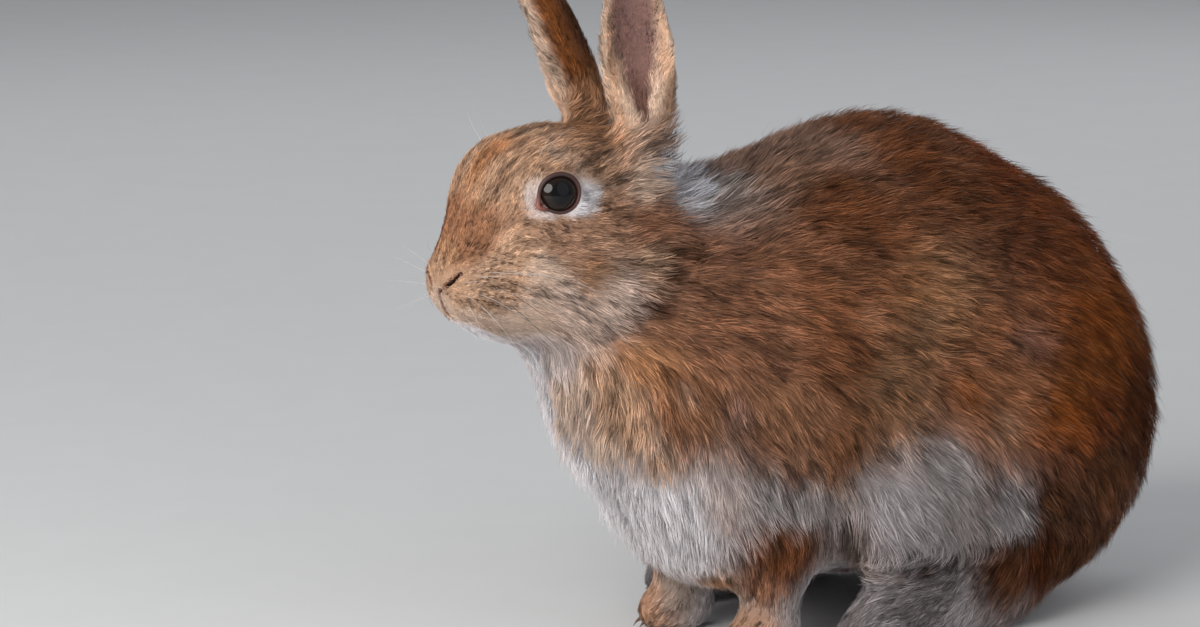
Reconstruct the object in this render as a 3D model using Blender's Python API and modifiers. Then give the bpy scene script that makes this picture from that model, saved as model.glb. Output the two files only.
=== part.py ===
"""A still, life-size domestic rabbit that crouches on all fours with its head up, turned a little to its right.

Metres, +Z up. The rabbit faces -X, its left side is towards -Y, and it rests on the floor plane Z = 0.
The solids give the outline out to the tips of the coat. The flesh is blended from named rounded forms into one
body, and thin cuts then part that body into the pieces that a person would name.
"""

import math
from collections import namedtuple

import bmesh
import bpy
import numpy as np
from mathutils import Euler, Matrix, Vector

# Driving sizes
BACK_HEIGHT = 0.186      # floor to the top of the arched back
HAUNCH_WIDTH = 0.142     # across both thighs
FOOT_HALF_GAP = 0.025    # forefeet, from the middle plane

# Eyes
EYE_RADIUS = 0.0082
EYE_PLACE = Vector((0, -0.0212, -0.0005))    # the left eyeball's centre, in the head's frame
EYE_AIM = Vector((-0.20, -1, 0.10))          # where the left eye looks, in the head's frame
LID_RADIUS = 0.0098
OPENING = (0.0074, 0.0068)                   # half length and half height between the lids

# Ears
EAR_PLACE = Vector((0.0370, -0.0186, 0.0250))   # the notch, in the head's frame
EAR_LEAN = math.radians(16)                     # forwards
EAR_SPLAY = math.radians(17)                    # outwards
EAR_FACING = math.radians(22)                   # turn of the opening from sideways towards the front
EAR_WALL = 0.0030
EAR_SIDES = 14
EAR_SECTIONS = (         # height over the notch, half width, half depth, shift of the middle forwards
    (-0.020, 0.0080, 0.0075, -0.0010),
    (-0.010, 0.0096, 0.0082, -0.0004),
    (0.000, 0.0114, 0.0084, 0.0000),
    (0.010, 0.0130, 0.0080, 0.0004),
    (0.020, 0.0137, 0.0072, 0.0008),
    (0.030, 0.0133, 0.0062, 0.0013),
    (0.040, 0.0119, 0.0051, 0.0020),
    (0.050, 0.0094, 0.0039, 0.0029),
    (0.057, 0.0066, 0.0029, 0.0037),
    (0.062, 0.0034, 0.0019, 0.0043),
    (0.064, 0.0010, 0.0010, 0.0046),
)

# Nose
NOSTRIL_PLACE = Vector((-0.0315, -0.0052, -0.0325))
CLEFT_PLACE = Vector((-0.0325, 0, -0.0405))

# How the body is meshed and parted
CUT_GAP = 0.00035
VOXEL = 0.0030
SKIN_TRIANGLES = 3000
BLEND = 0.014            # usual width of the soft join between two forms

# Where the head is carried
HEAD_PLACE = Vector((-0.1385, 0.0206, 0.1725))   # the point midway between the eyes
HEAD_TURN = math.radians(-6)                    # towards the right
HEAD_TILT = math.radians(3)

LEFT, RIGHT = -1, 1
SIDE_NAMES = {LEFT: "left", RIGHT: "right"}

# Colours, linear, and roughness of each kind of piece
LOOKS = {
    "head": ("tan_coat", (0.32, 0.16, 0.09), 0.85),
    "ear": ("ear_coat", (0.30, 0.15, 0.09), 0.85),
    "eye": ("dark_eye", (0.012, 0.008, 0.006), 0.05),
    "neck": ("neck_coat", (0.30, 0.14, 0.08), 0.85),
    "trunk": ("ginger_coat", (0.20, 0.085, 0.042), 0.85),
    "haunch": ("haunch_coat", (0.17, 0.07, 0.035), 0.85),
    "foreleg": ("foreleg_coat", (0.20, 0.10, 0.06), 0.85),
    "forefoot": ("forefoot_coat", (0.42, 0.30, 0.24), 0.85),
    "hindfoot": ("hindfoot_coat", (0.40, 0.32, 0.28), 0.85),
    "tail": ("tail_coat", (0.16, 0.07, 0.04), 0.85),
}
MIDDLE = (-0.0253, 0.0001)        # of the whole rabbit on the floor, where the origin goes

Form = namedtuple("Form", "centre radii turn blend", defaults=((0, 0, 0), BLEND))


# ---------------------------------------------------------------- the forms of the body

def pair(form):
    """A form of the left side and its mirror image on the right."""
    x, y, z = form.centre
    roll, pitch, yaw = form.turn
    return [form, form._replace(centre=(x, -y, z), turn=(-roll, pitch, -yaw))]


def trunk_forms():
    height, half = BACK_HEIGHT, HAUNCH_WIDTH / 2
    forms = [
        Form((0.005, 0, 0.57 * height), (0.084, 0.80 * half, 0.43 * height), blend=0.020),       # loin
        Form((-0.040, 0, 0.56 * height), (0.076, 0.76 * half, 0.38 * height), blend=0.020),      # ribs
        Form((0.059, 0, 0.44 * height), (0.0635, 0.88 * half, 0.43 * height), blend=0.020),      # rump
        Form((-0.088, 0.003, 0.095), (0.044, 0.60 * half, 0.042), (0, 30, 0), 0.020),            # breast
        Form((-0.068, 0, 0.057), (0.037, 0.58 * half, 0.034), (0, 24, 0), 0.020),                # brisket
        Form((0.000, 0, 0.053), (0.082, 0.72 * half, 0.034), blend=0.020),                       # belly
    ]
    forms += pair(Form((-0.060, -0.36 * half, 0.094), (0.036, 0.38 * half, 0.050), (0, 14, 0), 0.020))  # shoulder
    return forms


def neck_forms():
    return [
        Form((-0.086, 0.004, 0.128), (0.040, 0.038, 0.042), (0, -20, 0), 0.02),
        Form((-0.108, 0.009, 0.127), (0.035, 0.032, 0.035), (0, -20, -8), 0.02),
    ]


def haunch_forms():
    half = HAUNCH_WIDTH / 2
    forms = pair(Form((0.050, -0.58 * half, 0.068), (0.064, 0.42 * half, 0.060), (0, -20, 4), 0.024))    # thigh
    forms += pair(Form((-0.006, -0.68 * half, 0.049), (0.038, 0.26 * half, 0.029), (0, -14, 6), 0.020))  # knee
    return forms


def foreleg_forms(side):
    y = side * FOOT_HALF_GAP
    lead = 0.001 * side     # the right forefoot is set a little further back
    return [
        Form((-0.059 + lead, y, 0.050), (0.019, 0.0155, 0.028), (0, 0, 0), 0.014),       # elbow
        Form((-0.060 + lead, y, 0.028), (0.0115, 0.0108, 0.024), (0, 3, 0), 0.010),      # forearm
        Form((-0.0635 + lead, y, 0.0078), (0.0155, 0.0120, 0.0100), (0, -6, 0), 0.008),  # paw
    ]


def hindfoot_forms(side):
    y = side * 0.050
    out = 6 * side
    return [
        Form((0.022, y - 0.001 * side, 0.0150), (0.028, 0.0130, 0.0175), (0, -6, out), 0.012),   # hock and heel
        Form((-0.012, y + 0.001 * side, 0.0140), (0.028, 0.0130, 0.0150), (0, 2, out), 0.012),   # instep
        Form((-0.034, y + 0.003 * side, 0.0090), (0.0165, 0.0132, 0.0110), (0, 0, out), 0.008),  # toes
    ]


def tail_forms():
    return [Form((0.103, 0, 0.036), (0.0175, 0.0165, 0.021), (0, 24, 0), 0.008)]


def head_forms():
    """The head in its own frame: origin midway between the eyes, facing -X."""
    forms = [
        Form((0.014, 0, -0.0100), (0.0350, 0.0250, 0.0305), (0, 0, 0), 0.018),      # skull
        Form((0.0000, 0, -0.0140), (0.0200, 0.0185, 0.0250), (0, -18, 0), 0.018),  # forehead
        Form((-0.0130, 0, -0.0260), (0.0140, 0.0140, 0.0185), (0, -22, 0), 0.016),  # bridge of the nose
        Form((-0.0185, 0, -0.0300), (0.0130, 0.0105, 0.0115), (0, -6, 0), 0.012),   # muzzle
        Form((-0.0130, 0, -0.0400), (0.0180, 0.0115, 0.0110), (0, 10, 0), 0.012),   # chin
        Form((0.010, 0, -0.0410), (0.0240, 0.0180, 0.0140), (0, 0, 0), 0.018),      # throat
        Form((0.066, 0, -0.0110), (0.0130, 0.0180, 0.0110), (0, 20, 0), 0.016),     # nape
    ]
    forms += pair(Form((0.019, -0.0140, -0.026), (0.033, 0.0180, 0.0260), (0, 8, 7), 0.018))       # cheek
    forms += pair(Form((-0.001, -0.0080, -0.0370), (0.0240, 0.0095, 0.0130), (0, 6, 14), 0.014))   # jaw
    forms += pair(Form((-0.0168, -0.0052, -0.0325), (0.0140, 0.0074, 0.0110), (0, -4, 12), 0.009)) # whisker pad
    forms += pair(Form((0.002, -0.0130, -0.0020), (0.0175, 0.0090, 0.0150), (0, -10, 8), 0.016))   # brow
    forms += pair(Form((0.037, -0.0160, 0.0070), (0.0135, 0.0115, 0.0180), (-16, 12, 0), 0.014))   # ear root
    return forms


def head_matrix():
    return Matrix.Translation(HEAD_PLACE) @ Euler((0, HEAD_TILT, HEAD_TURN)).to_matrix().to_4x4()


# ---------------------------------------------------------------- blending forms into one surface

def placed(forms, matrix):
    """(matrix, radii, blend) of each form, carried from its own frame to the rabbit's."""
    found = []
    for form in forms:
        turn = Euler([math.radians(a) for a in form.turn]).to_matrix().to_4x4()
        found.append((matrix @ Matrix.Translation(form.centre) @ turn, form.radii, form.blend))
    return found


def flesh_forms():
    here = Matrix.Identity(4)
    forms = trunk_forms() + neck_forms() + haunch_forms() + tail_forms()
    for side in (LEFT, RIGHT):
        forms += foreleg_forms(side) + hindfoot_forms(side)
    return placed(forms, here) + placed(head_forms(), head_matrix())


def distance(points, forms):
    """Signed distance from each point to the soft union of the forms."""
    total = np.full(len(points), 1.0)
    for matrix, radii, blend in forms:
        inverse = np.array(matrix.inverted())
        local = points @ inverse[:3, :3].T + inverse[:3, 3]
        near = np.linalg.norm(local / radii, axis=1)
        slope = np.linalg.norm(local / np.square(radii), axis=1)
        apart = near * (near - 1) / np.maximum(slope, 1e-9)
        overlap = np.maximum(blend - np.abs(total - apart), 0) / blend
        total = np.minimum(total, apart) - overlap**3 * blend / 6
    return total


def slope_of(points, forms, step=0.0004):
    columns = []
    for axis in np.eye(3):
        columns.append(distance(points + step * axis, forms) - distance(points - step * axis, forms))
    slope = np.stack(columns, 1)
    return slope / np.maximum(np.linalg.norm(slope, axis=1, keepdims=True), 1e-12)


def mesh_object(name, mesh):
    found = bpy.data.objects.new(name, mesh)
    bpy.context.scene.collection.objects.link(found)
    return found


def evaluated_copy(obj, name):
    """A new mesh object that holds obj as its modifiers leave it."""
    bpy.context.view_layer.update()
    graph = bpy.context.evaluated_depsgraph_get()
    mesh = bpy.data.meshes.new_from_object(obj.evaluated_get(graph))
    mesh.name = name
    made = mesh_object(name, mesh)
    made.matrix_world = obj.matrix_world
    return made


def applied(obj):
    """obj with its modifiers made real."""
    name = obj.name
    made = evaluated_copy(obj, name + "_applied")
    bpy.data.objects.remove(obj)
    made.name = name
    return made


def blended_body(forms):
    """One closed mesh on the soft union of the forms."""
    mesh = bmesh.new()
    for matrix, radii, _ in forms:
        size = Matrix.Diagonal((*radii, 1))
        bmesh.ops.create_icosphere(mesh, subdivisions=4, radius=1.0, matrix=matrix @ size)
    data = bpy.data.meshes.new("forms")
    mesh.to_mesh(data)
    mesh.free()
    body = mesh_object("body", data)
    remesh = body.modifiers.new("join", "REMESH")
    remesh.mode = "VOXEL"
    remesh.voxel_size = VOXEL
    body = applied(body)
    relax = body.modifiers.new("relax", "SMOOTH")
    relax.iterations = 3
    body = applied(body)
    for _ in range(10):
        count = len(body.data.vertices)
        flat = np.empty(count * 3, np.float32)
        body.data.vertices.foreach_get("co", flat)
        points = flat.reshape(-1, 3).astype(float)
        reach = np.clip(distance(points, forms), -VOXEL, VOXEL)
        points -= slope_of(points, forms) * reach[:, None]
        body.data.vertices.foreach_set("co", points.astype(np.float32).ravel())
    return body


def fewer_faces(body, triangles):
    """Leaves about that many triangles, with the finest ones on the head and feet."""
    group = body.vertex_groups.new(name="coarse")
    centre = HEAD_PLACE
    for vertex in body.data.vertices:
        far = (vertex.co - centre).length
        coarse = min(1.0, 0.6 + max(0.0, (far - 0.045) / 0.12))
        group.add([vertex.index], coarse, "REPLACE")
    body.data.calc_loop_triangles()
    decimate = body.modifiers.new("fewer", "DECIMATE")
    decimate.ratio = triangles / len(body.data.loop_triangles)
    decimate.vertex_group = "coarse"
    decimate.vertex_group_factor = 0.0005
    decimate.use_collapse_triangulate = True
    return applied(body)


# ---------------------------------------------------------------- parting the body with thin cuts

def boolean(obj, cutter, operation):
    modifier = obj.modifiers.new(operation.lower(), "BOOLEAN")
    modifier.operation = operation
    modifier.solver = "EXACT"
    modifier.object = cutter
    return applied(obj)


def consumed(obj, cutter, operation):
    made = boolean(obj, cutter, operation)
    bpy.data.objects.remove(cutter)
    return made


def slab(point, normal, reach):
    """A box that covers all within reach of the point on the side that the normal points to."""
    bpy.ops.mesh.primitive_cube_add(size=2 * reach)
    box = bpy.context.object
    normal = Vector(normal).normalized()
    turn = normal.to_track_quat("Z", "Y").to_matrix().to_4x4()
    box.matrix_world = Matrix.Translation(Vector(point) + normal * reach) @ turn
    return box


def ball(centre, radii, turn=(0, 0, 0), segments=14):
    bpy.ops.mesh.primitive_uv_sphere_add(segments=segments, ring_count=segments * 2 // 3, radius=1.0)
    made = bpy.context.object
    rotation = Euler([math.radians(a) for a in turn]).to_matrix().to_4x4()
    made.data.transform(Matrix.Translation(centre) @ rotation @ Matrix.Diagonal((*radii, 1)))
    return made


def part_off(body, name, region, grown_region):
    """Cuts the piece inside region out of body, and leaves a thin gap round it."""
    piece = evaluated_copy(body, name)
    piece = boolean(piece, region, "INTERSECT")
    body = boolean(body, grown_region, "DIFFERENCE")
    bpy.data.objects.remove(region)
    bpy.data.objects.remove(grown_region)
    return body, piece


def part_by_plane(body, name, point, normal, reach=0.4):
    """The piece on the side of the plane that the normal points to becomes its own object."""
    back = Vector(point) - Vector(normal).normalized() * CUT_GAP
    return part_off(body, name, slab(point, normal, reach), slab(back, normal, reach))


def part_by_ball(body, name, centre, radii, turn=(0, 0, 0)):
    grown = [r + CUT_GAP for r in radii]
    return part_off(body, name, ball(centre, radii, turn), ball(centre, grown, turn))


# ---------------------------------------------------------------- ears, eyes

def loft(name, sections):
    """A closed solid through elliptical sections: (height, half width, half depth, middle in X, middle in Y)."""
    mesh = bmesh.new()
    rings = []
    for height, half_width, half_depth, middle_x, middle_y in sections:
        ring = []
        for step in range(EAR_SIDES):
            angle = 2 * math.pi * step / EAR_SIDES
            x = middle_x + half_width * math.cos(angle)
            y = middle_y + half_depth * math.sin(angle)
            ring.append(mesh.verts.new((x, y, height)))
        rings.append(ring)
    for low, high in zip(rings, rings[1:]):
        for step in range(EAR_SIDES):
            after = (step + 1) % EAR_SIDES
            mesh.faces.new((low[step], low[after], high[after], high[step]))
    mesh.faces.new(rings[0][::-1])
    mesh.faces.new(rings[-1])
    bmesh.ops.recalc_face_normals(mesh, faces=mesh.faces)
    data = bpy.data.meshes.new(name)
    mesh.to_mesh(data)
    mesh.free()
    return mesh_object(name, data)


def hollow_sections():
    """The hollow of an ear: a V at the notch, then as wide as the walls allow, open on the outer side."""
    found = []
    for height, half_width, half_depth, forwards in EAR_SECTIONS[2:-1]:
        opened = min(1.0, max(0.02, height / 0.018))
        wide = (half_width - EAR_WALL) * opened
        back = (2 * half_depth - EAR_WALL) * opened**0.7 - half_depth
        front = -2.0 * half_depth
        found.append((height, wide, (back - front) / 2, -forwards, (back + front) / 2))
    return found


def ear_matrix(side):
    """From the left ear's own frame to the rabbit's. The right ear is its mirror image in the head's frame.

    In the ear's own frame +Z is up to the tip, -X is forwards, and the ear opens towards -Y.
    """
    lean = Matrix.Rotation(EAR_SPLAY, 4, "X") @ Matrix.Rotation(-EAR_LEAN, 4, "Y")
    own = Matrix.Translation(EAR_PLACE) @ lean @ Matrix.Rotation(-EAR_FACING, 4, "Z")
    mirror = Matrix.Diagonal((1, -side, 1, 1))
    return head_matrix() @ mirror @ own


def ear(side, head):
    outside = [(height, wide, deep, -forwards, 0.0) for height, wide, deep, forwards in EAR_SECTIONS]
    made = loft("ear_" + SIDE_NAMES[side], outside)
    hollow = loft("hollow", hollow_sections())
    made = boolean(made, hollow, "DIFFERENCE")
    bpy.data.objects.remove(hollow)
    made.data.transform(ear_matrix(side))
    if side == RIGHT:
        made.data.flip_normals()
    return boolean(made, grown_copy(head), "DIFFERENCE")


def grown_copy(obj):
    """obj with its surface moved out by the cut's gap, as a cutter."""
    cutter = evaluated_copy(obj, obj.name + "_grown")
    push = cutter.modifiers.new("grow", "DISPLACE")
    push.strength = CUT_GAP
    push.mid_level = 0.0
    return applied(cutter)


def eye_matrix(side):
    """The left eye's frame with +Z the way that it looks. The right one is its mirror image in the head's frame."""
    own = Matrix.Translation(EYE_PLACE) @ EYE_AIM.to_track_quat("Z", "X").to_matrix().to_4x4()
    return head_matrix() @ Matrix.Diagonal((1, -side, 1, 1)) @ own


def eyeball(side, radius):
    made = ball((0, 0, 0), (radius,) * 3, segments=16)
    made.name = "eye_" + SIDE_NAMES[side]
    made.data.transform(eye_matrix(side))
    if side == RIGHT:
        made.data.flip_normals()
    return made


def lid_opening(side):
    bpy.ops.mesh.primitive_cylinder_add(vertices=EAR_SIDES, radius=1.0, depth=2.0)
    made = bpy.context.object
    made.data.transform(Matrix.Translation((0, 0, 1)))
    tall, long = OPENING[1], OPENING[0]
    made.data.transform(eye_matrix(side) @ Matrix.Diagonal((tall, long, 0.02, 1)))
    if side == RIGHT:
        made.data.flip_normals()
    return made


def with_lids(head, side):
    """Swells the lids out of the head, and opens them round the eyeball."""
    head = consumed(head, eyeball(side, LID_RADIUS), "UNION")
    head = consumed(head, eyeball(side, EYE_RADIUS + CUT_GAP), "DIFFERENCE")
    return consumed(head, lid_opening(side), "DIFFERENCE")


def with_nose(head):
    """Cuts the nostrils and the cleft of the lip."""
    for side in (LEFT, RIGHT):
        place = head_matrix() @ Matrix.Diagonal((1, -side, 1, 1)) @ Matrix.Translation(NOSTRIL_PLACE)
        place = place @ Euler([math.radians(a) for a in (38, 0, 22)]).to_matrix().to_4x4()
        slit = ball((0, 0, 0), (0.0032, 0.0036, 0.0009), segments=10)
        slit.data.transform(place)
        if side == RIGHT:
            slit.data.flip_normals()
        head = consumed(head, slit, "DIFFERENCE")
    cleft = ball(CLEFT_PLACE, (0.0032, 0.0006, 0.0060), (0, -14, 0), segments=10)
    cleft.data.transform(head_matrix())
    return consumed(head, cleft, "DIFFERENCE")


# ---------------------------------------------------------------- the rabbit

def clear_scene():
    for obj in list(bpy.data.objects):
        bpy.data.objects.remove(obj)


def largest_island(obj):
    """Drops the crumbs that a cut leaves beside a piece."""
    mesh = bmesh.new()
    mesh.from_mesh(obj.data)
    waiting = set(mesh.verts)
    islands = []
    while waiting:
        island, edge_of = set(), [waiting.pop()]
        while edge_of:
            vertex = edge_of.pop()
            island.add(vertex)
            for edge in vertex.link_edges:
                other = edge.other_vert(vertex)
                if other in waiting:
                    waiting.remove(other)
                    edge_of.append(other)
        islands.append(island)
    islands.sort(key=len)
    for island in islands[:-1]:
        bmesh.ops.delete(mesh, geom=list(island), context="VERTS")
    mesh.to_mesh(obj.data)
    mesh.free()


def material(name, colour, roughness):
    found = bpy.data.materials.get(name)
    if found is None:
        found = bpy.data.materials.new(name)
        found.use_nodes = True
        surface = found.node_tree.nodes["Principled BSDF"]
        surface.inputs["Base Color"].default_value = (*colour, 1)
        surface.inputs["Roughness"].default_value = roughness
        surface.inputs["Metallic"].default_value = 0.0
    return found


def parted(body):
    """The named pieces of the body, each a little apart from the next."""
    frame = head_matrix()
    body, head = part_by_ball(body, "head", frame @ Vector((0.012, 0, -0.012)), (0.062, 0.075, 0.0530),
                              (0, 0, math.degrees(HEAD_TURN)))
    body, tail = part_by_ball(body, "tail", (0.108, 0, 0.036), (0.0190, 0.0210, 0.0270), (0, 24, 0))
    pieces = [head, tail]
    for side in (LEFT, RIGHT):
        name = SIDE_NAMES[side]
        foot_centre = (-0.004, 0.053 * side, 0.0060)
        body, foot = part_by_ball(body, "hindfoot_" + name, foot_centre, (0.066, 0.030, 0.0240), (0, -3, 6 * side))
        leg_centre = (-0.060, 0.027 * side, 0.024)
        body, leg = part_by_ball(body, "foreleg_" + name, leg_centre, (0.030, 0.0235, 0.036))
        leg, paw = part_by_plane(leg, "forefoot_" + name, (-0.06, 0, 0.0165), (-0.25, 0, -1))
        haunch_centre = (0.029, 0.084 * side, 0.062)
        body, haunch = part_by_ball(body, "haunch_" + name, haunch_centre, (0.083, 0.046, 0.064), (0, -20, 0))
        pieces += [foot, leg, paw, haunch]
    body, neck = part_by_plane(body, "neck", (-0.080, 0, 0.128), (-0.62, 0, 0.78))
    body.name = "trunk"
    return pieces + [neck, body]


def main():
    clear_scene()
    body = fewer_faces(blended_body(flesh_forms()), SKIN_TRIANGLES)
    body = consumed(body, slab((0, 0, 0), (0, 0, -1), 0.4), "DIFFERENCE")
    pieces = []
    for side in (LEFT, RIGHT):
        pieces.append(ear(side, body))
        body = with_lids(body, side)
        pieces.append(eyeball(side, EYE_RADIUS))
    pieces += parted(with_nose(body))
    for obj in list(bpy.data.objects):
        if obj not in pieces:
            bpy.data.objects.remove(obj)
    rabbit = bpy.data.collections.new("rabbit")
    bpy.context.scene.collection.children.link(rabbit)
    for piece in pieces:
        largest_island(piece)
        piece.data.transform(Matrix.Translation((-MIDDLE[0], -MIDDLE[1], 0)))
        piece.data.materials.clear()
        piece.data.materials.append(material(*LOOKS[piece.name.split("_")[0]]))
        for collection in list(piece.users_collection):
            collection.objects.unlink(piece)
        rabbit.objects.link(piece)


main()
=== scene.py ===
"""Dresses the still rabbit: one skin, a coat of small tufts that follow its lie, eyes with lids, claws and
whiskers.

Metres, +Z up. The rabbit faces -X and its left side is towards -Y. Tables of places are in millimetres, in
the frame of the body, the head or an ear, for the left side, and are mirrored for the right.
"""

import math
from collections import namedtuple
from contextlib import contextmanager

import bpy
import numpy as np
from mathutils import Euler, Matrix, Vector, noise
from mathutils.bvhtree import BVHTree
from mathutils.kdtree import KDTree


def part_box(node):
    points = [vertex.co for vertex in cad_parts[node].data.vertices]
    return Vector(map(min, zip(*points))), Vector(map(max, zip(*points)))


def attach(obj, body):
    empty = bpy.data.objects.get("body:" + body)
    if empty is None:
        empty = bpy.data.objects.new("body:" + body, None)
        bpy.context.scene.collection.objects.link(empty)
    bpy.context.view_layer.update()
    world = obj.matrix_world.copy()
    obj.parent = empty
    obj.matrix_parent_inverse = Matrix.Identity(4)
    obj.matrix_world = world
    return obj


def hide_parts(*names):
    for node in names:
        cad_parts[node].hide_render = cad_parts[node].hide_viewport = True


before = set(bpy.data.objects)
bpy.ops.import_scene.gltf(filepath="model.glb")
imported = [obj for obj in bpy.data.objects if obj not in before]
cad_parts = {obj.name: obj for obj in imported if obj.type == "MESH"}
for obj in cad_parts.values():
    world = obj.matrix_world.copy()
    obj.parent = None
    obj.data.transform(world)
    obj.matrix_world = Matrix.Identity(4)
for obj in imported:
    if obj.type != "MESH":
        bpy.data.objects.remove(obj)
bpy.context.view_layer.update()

MM = 0.001
LEFT, RIGHT = -1, 1
SIDES = {LEFT: "left", RIGHT: "right"}
SEED = 20
EYES = ("eye_left", "eye_right")
FLESH = [name for name in sorted(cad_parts) if name not in EYES]

# How the head and the ears are carried
HEAD_TILT = math.radians(3)
EYE_HEIGHT = -0.0005                            # of the eyes' middle, in the head's frame
EYE_AIM = Vector((-0.20, -1, 0.10))             # where the left eye looks, in the head's frame
EAR_PLACE = Vector((0.0370, -0.0186, 0.0250))   # the notch of the left ear, in the head's frame
EAR_LEAN = math.radians(16)
EAR_SPLAY = math.radians(17)
EAR_FACING = math.radians(22)

# Skin
VOXEL = 0.0017
SKIN_SWELL = 0.3 * MM       # makes up for what the smoothing takes off
LID_SWELL = 0.0014          # of the closed lid over the eyeball
SKIN_RELAX = 8
DEPTH_SHARE = 0.80          # of the height that a tuft's tip reaches over the skin
MOST_DEPTH = 3.3 * MM       # fluffier fur than this stands out

# Coat
TUFTS = 240000
THINNEST = 0.16 * MM        # width of the shortest tufts, and what each metre of length adds to it
WIDENING = 0.0105
SEEN_AT = 0.55              # how far along a tuft the part lies that its neighbours leave bare
GUARD_SHARE = 0.08          # of the tufts that are longer, finer and stand out more
EDGE_TURN = 0.7             # how far a tuft's shading turns at its edges, and at its tip
TIP_TURN = 0.2
ROOT_DEPTH = 0.25 * MM      # of a tuft's root under the skin
CREST_AT = 0.45             # how far along a tuft its widest part lies
FLOOR_GAP = 0.1 * MM        # that the coat keeps from the floor
LOCK = 12                   # tufts to a lock
LOCK_REACH = 0.35           # how far a tip can be drawn to that of its lock's leader, in lengths of its tuft
LOCK_PULL = 0.5             # how much of that way it goes
EDGE_WANDER = 2.6 * MM      # of the edges between colours
SOFTNESS = 0.12             # of the blending between places in a table: more is softer
FALL = 2.5                  # how fast a place's weight falls off with the square of the distance
WAVE_SIZE = 14 * MM         # of the slow turns in the lie of the coat
WAVE_TURN = 0.40            # of the slow turns, and of each tuft on its own
STRAY_TURN = 0.11
LENGTH_SPREAD = (0.72, 1.18)            # from tuft to tuft, as shares of what is usual there
LIFT_SPREAD = (0.6, 1.4)
WIDTH_SPREAD = (0.75, 1.25)
LEAST_LIFT = 0.05
GUARD_LENGTH, GUARD_LIFT, GUARD_WIDTH = 1.15, 1.45, 0.6
ROOT_BEND, TIP_BEND = 1.35, 0.65        # how steeply a tuft rises before and after its crest, in lifts
CREST_HEIGHT = 0.35                     # of a tuft's ridge, in widths
TONE_LIMITS = (0.25, 2.2)               # of the darkest and the lightest tufts, in the coat's own tone
PALE_FROM, PALE_CONTRAST = 0.35, 0.4    # pale fur, and the contrast that it keeps

# Eyes, ears, pads and claws, in millimetres
OPENING = (7.0, 6.35)                   # half length and half height between the lids
SURROUND_END = 22                       # of the pale coat round an eye, from the eyeball's middle
SURROUND_ANGLES = (-180, -140, -110, -85, -60, -20, 30, 60, 90, 130, 160, 180)      # 0 above, 90 in front
SURROUND_REACHES = (1.20, 1.50, 2.4, 2.50, 1.9, 1.3, 1.35, 1.6, 1.78, 1.84, 1.50, 1.25)
SURROUND_SHARES = (0.4, 0.85, 1.0, 1.0, 0.35, 0.0, 0.05, 0.35, 0.55, 0.55, 0.5, 0.4)
EAR_HEIGHTS = (-20, -10, 0, 10, 20, 30, 40, 50, 57, 62, 64)             # over the notch
EAR_HALF_WIDTHS = (8.0, 9.6, 11.4, 13.0, 13.7, 13.3, 11.9, 9.4, 6.6, 3.4, 1.0)
EAR_HALF_DEPTHS = (7.5, 8.2, 8.4, 8.0, 7.2, 6.2, 5.1, 3.9, 2.9, 1.9, 1.0)
EAR_FORWARDS = (-1.0, -0.4, 0, 0.4, 0.8, 1.3, 2.0, 2.9, 3.7, 4.3, 4.6)
EAR_WALL = 0.28                         # how thick the wall of an ear's cup is, as a share of its half depth
PAD_ROWS, PAD_STEP = 3.0, 2.6           # between the rows of dots on a whisker pad, and from dot to dot
CLAW_ROOT = 2.8                         # behind the foremost point of a foot
CLAW_LENGTHS = {"forefoot": 4.0, "hindfoot": 5.0}

Comb = namedtuple("Comb", "place way length lift")        # lift in degrees, length in millimetres
Mark = namedtuple("Mark", "place reach colour ticking")
Spot = namedtuple("Spot", "place reach colour share")
Fold = namedtuple("Fold", "route half_width depth edge")    # edge: how far its sides stand proud
Swell = namedtuple("Swell", "place reach height")
Whisker = namedtuple("Whisker", "place start end length dark")


def table(kind, *rows):
    """The rows of a table, with names for their values."""
    return [kind(*row) for row in rows]


# -------- places

def middle(node):
    low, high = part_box(node)
    return (low + high) / 2


def head_matrix():
    """From the head's own frame, midway between the eyes and facing -X, to the rabbit's."""
    left, right = middle("eye_left"), middle("eye_right")
    across = right - left
    turn = math.atan2(-across.x, across.y)
    own = Euler((0, HEAD_TILT, turn)).to_matrix().to_4x4()
    return Matrix.Translation((left + right) / 2) @ own @ Matrix.Translation((0, 0, -EYE_HEIGHT))


HEAD = head_matrix()
EYE_RADIUS = (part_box("eye_left")[1].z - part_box("eye_left")[0].z) / 2


def mirror(side):
    return Matrix.Diagonal((1, -side, 1, 1))


def ear_matrix(side):
    """From an ear's own frame: +Z to the tip, -X forwards, open towards -Y on the left."""
    lean = Matrix.Rotation(EAR_SPLAY, 4, "X") @ Matrix.Rotation(-EAR_LEAN, 4, "Y")
    own = Matrix.Translation(EAR_PLACE) @ lean @ Matrix.Rotation(-EAR_FACING, 4, "Z")
    return HEAD @ mirror(side) @ own


def eye_matrix(side):
    """From an eye's own frame: +Z the way that it looks, +X up."""
    turn = EYE_AIM.to_track_quat("Z", "X").to_matrix().to_4x4()
    place = (HEAD.inverted() @ middle("eye_left"))
    return HEAD @ mirror(side) @ Matrix.Translation(place) @ turn


def to_numpy(matrix):
    return np.array(matrix, float)


def moved(points, matrix):
    m = to_numpy(matrix)
    return points @ m[:3, :3].T + m[:3, 3]


def turned(ways, matrix):
    return ways @ to_numpy(matrix)[:3, :3].T


def lengths(rows):
    return np.linalg.norm(rows, axis=1)


def unit(rows):
    return rows / np.maximum(lengths(rows)[:, None], 1e-12)


def fade(value, start, end):
    """0 at start, 1 at end, smooth between."""
    t = np.clip((value - start) / (end - start), 0, 1)
    return t * t * (3 - 2 * t)


def bell(value, centre, width):
    """1 at the centre, less on both sides of it."""
    return np.exp(-(((value - centre) / width) ** 2))


def squared_from(points, place, reach):
    """The square of each point's distance from a place, in reaches."""
    return ((points - place) ** 2).sum(1) / reach**2


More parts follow.
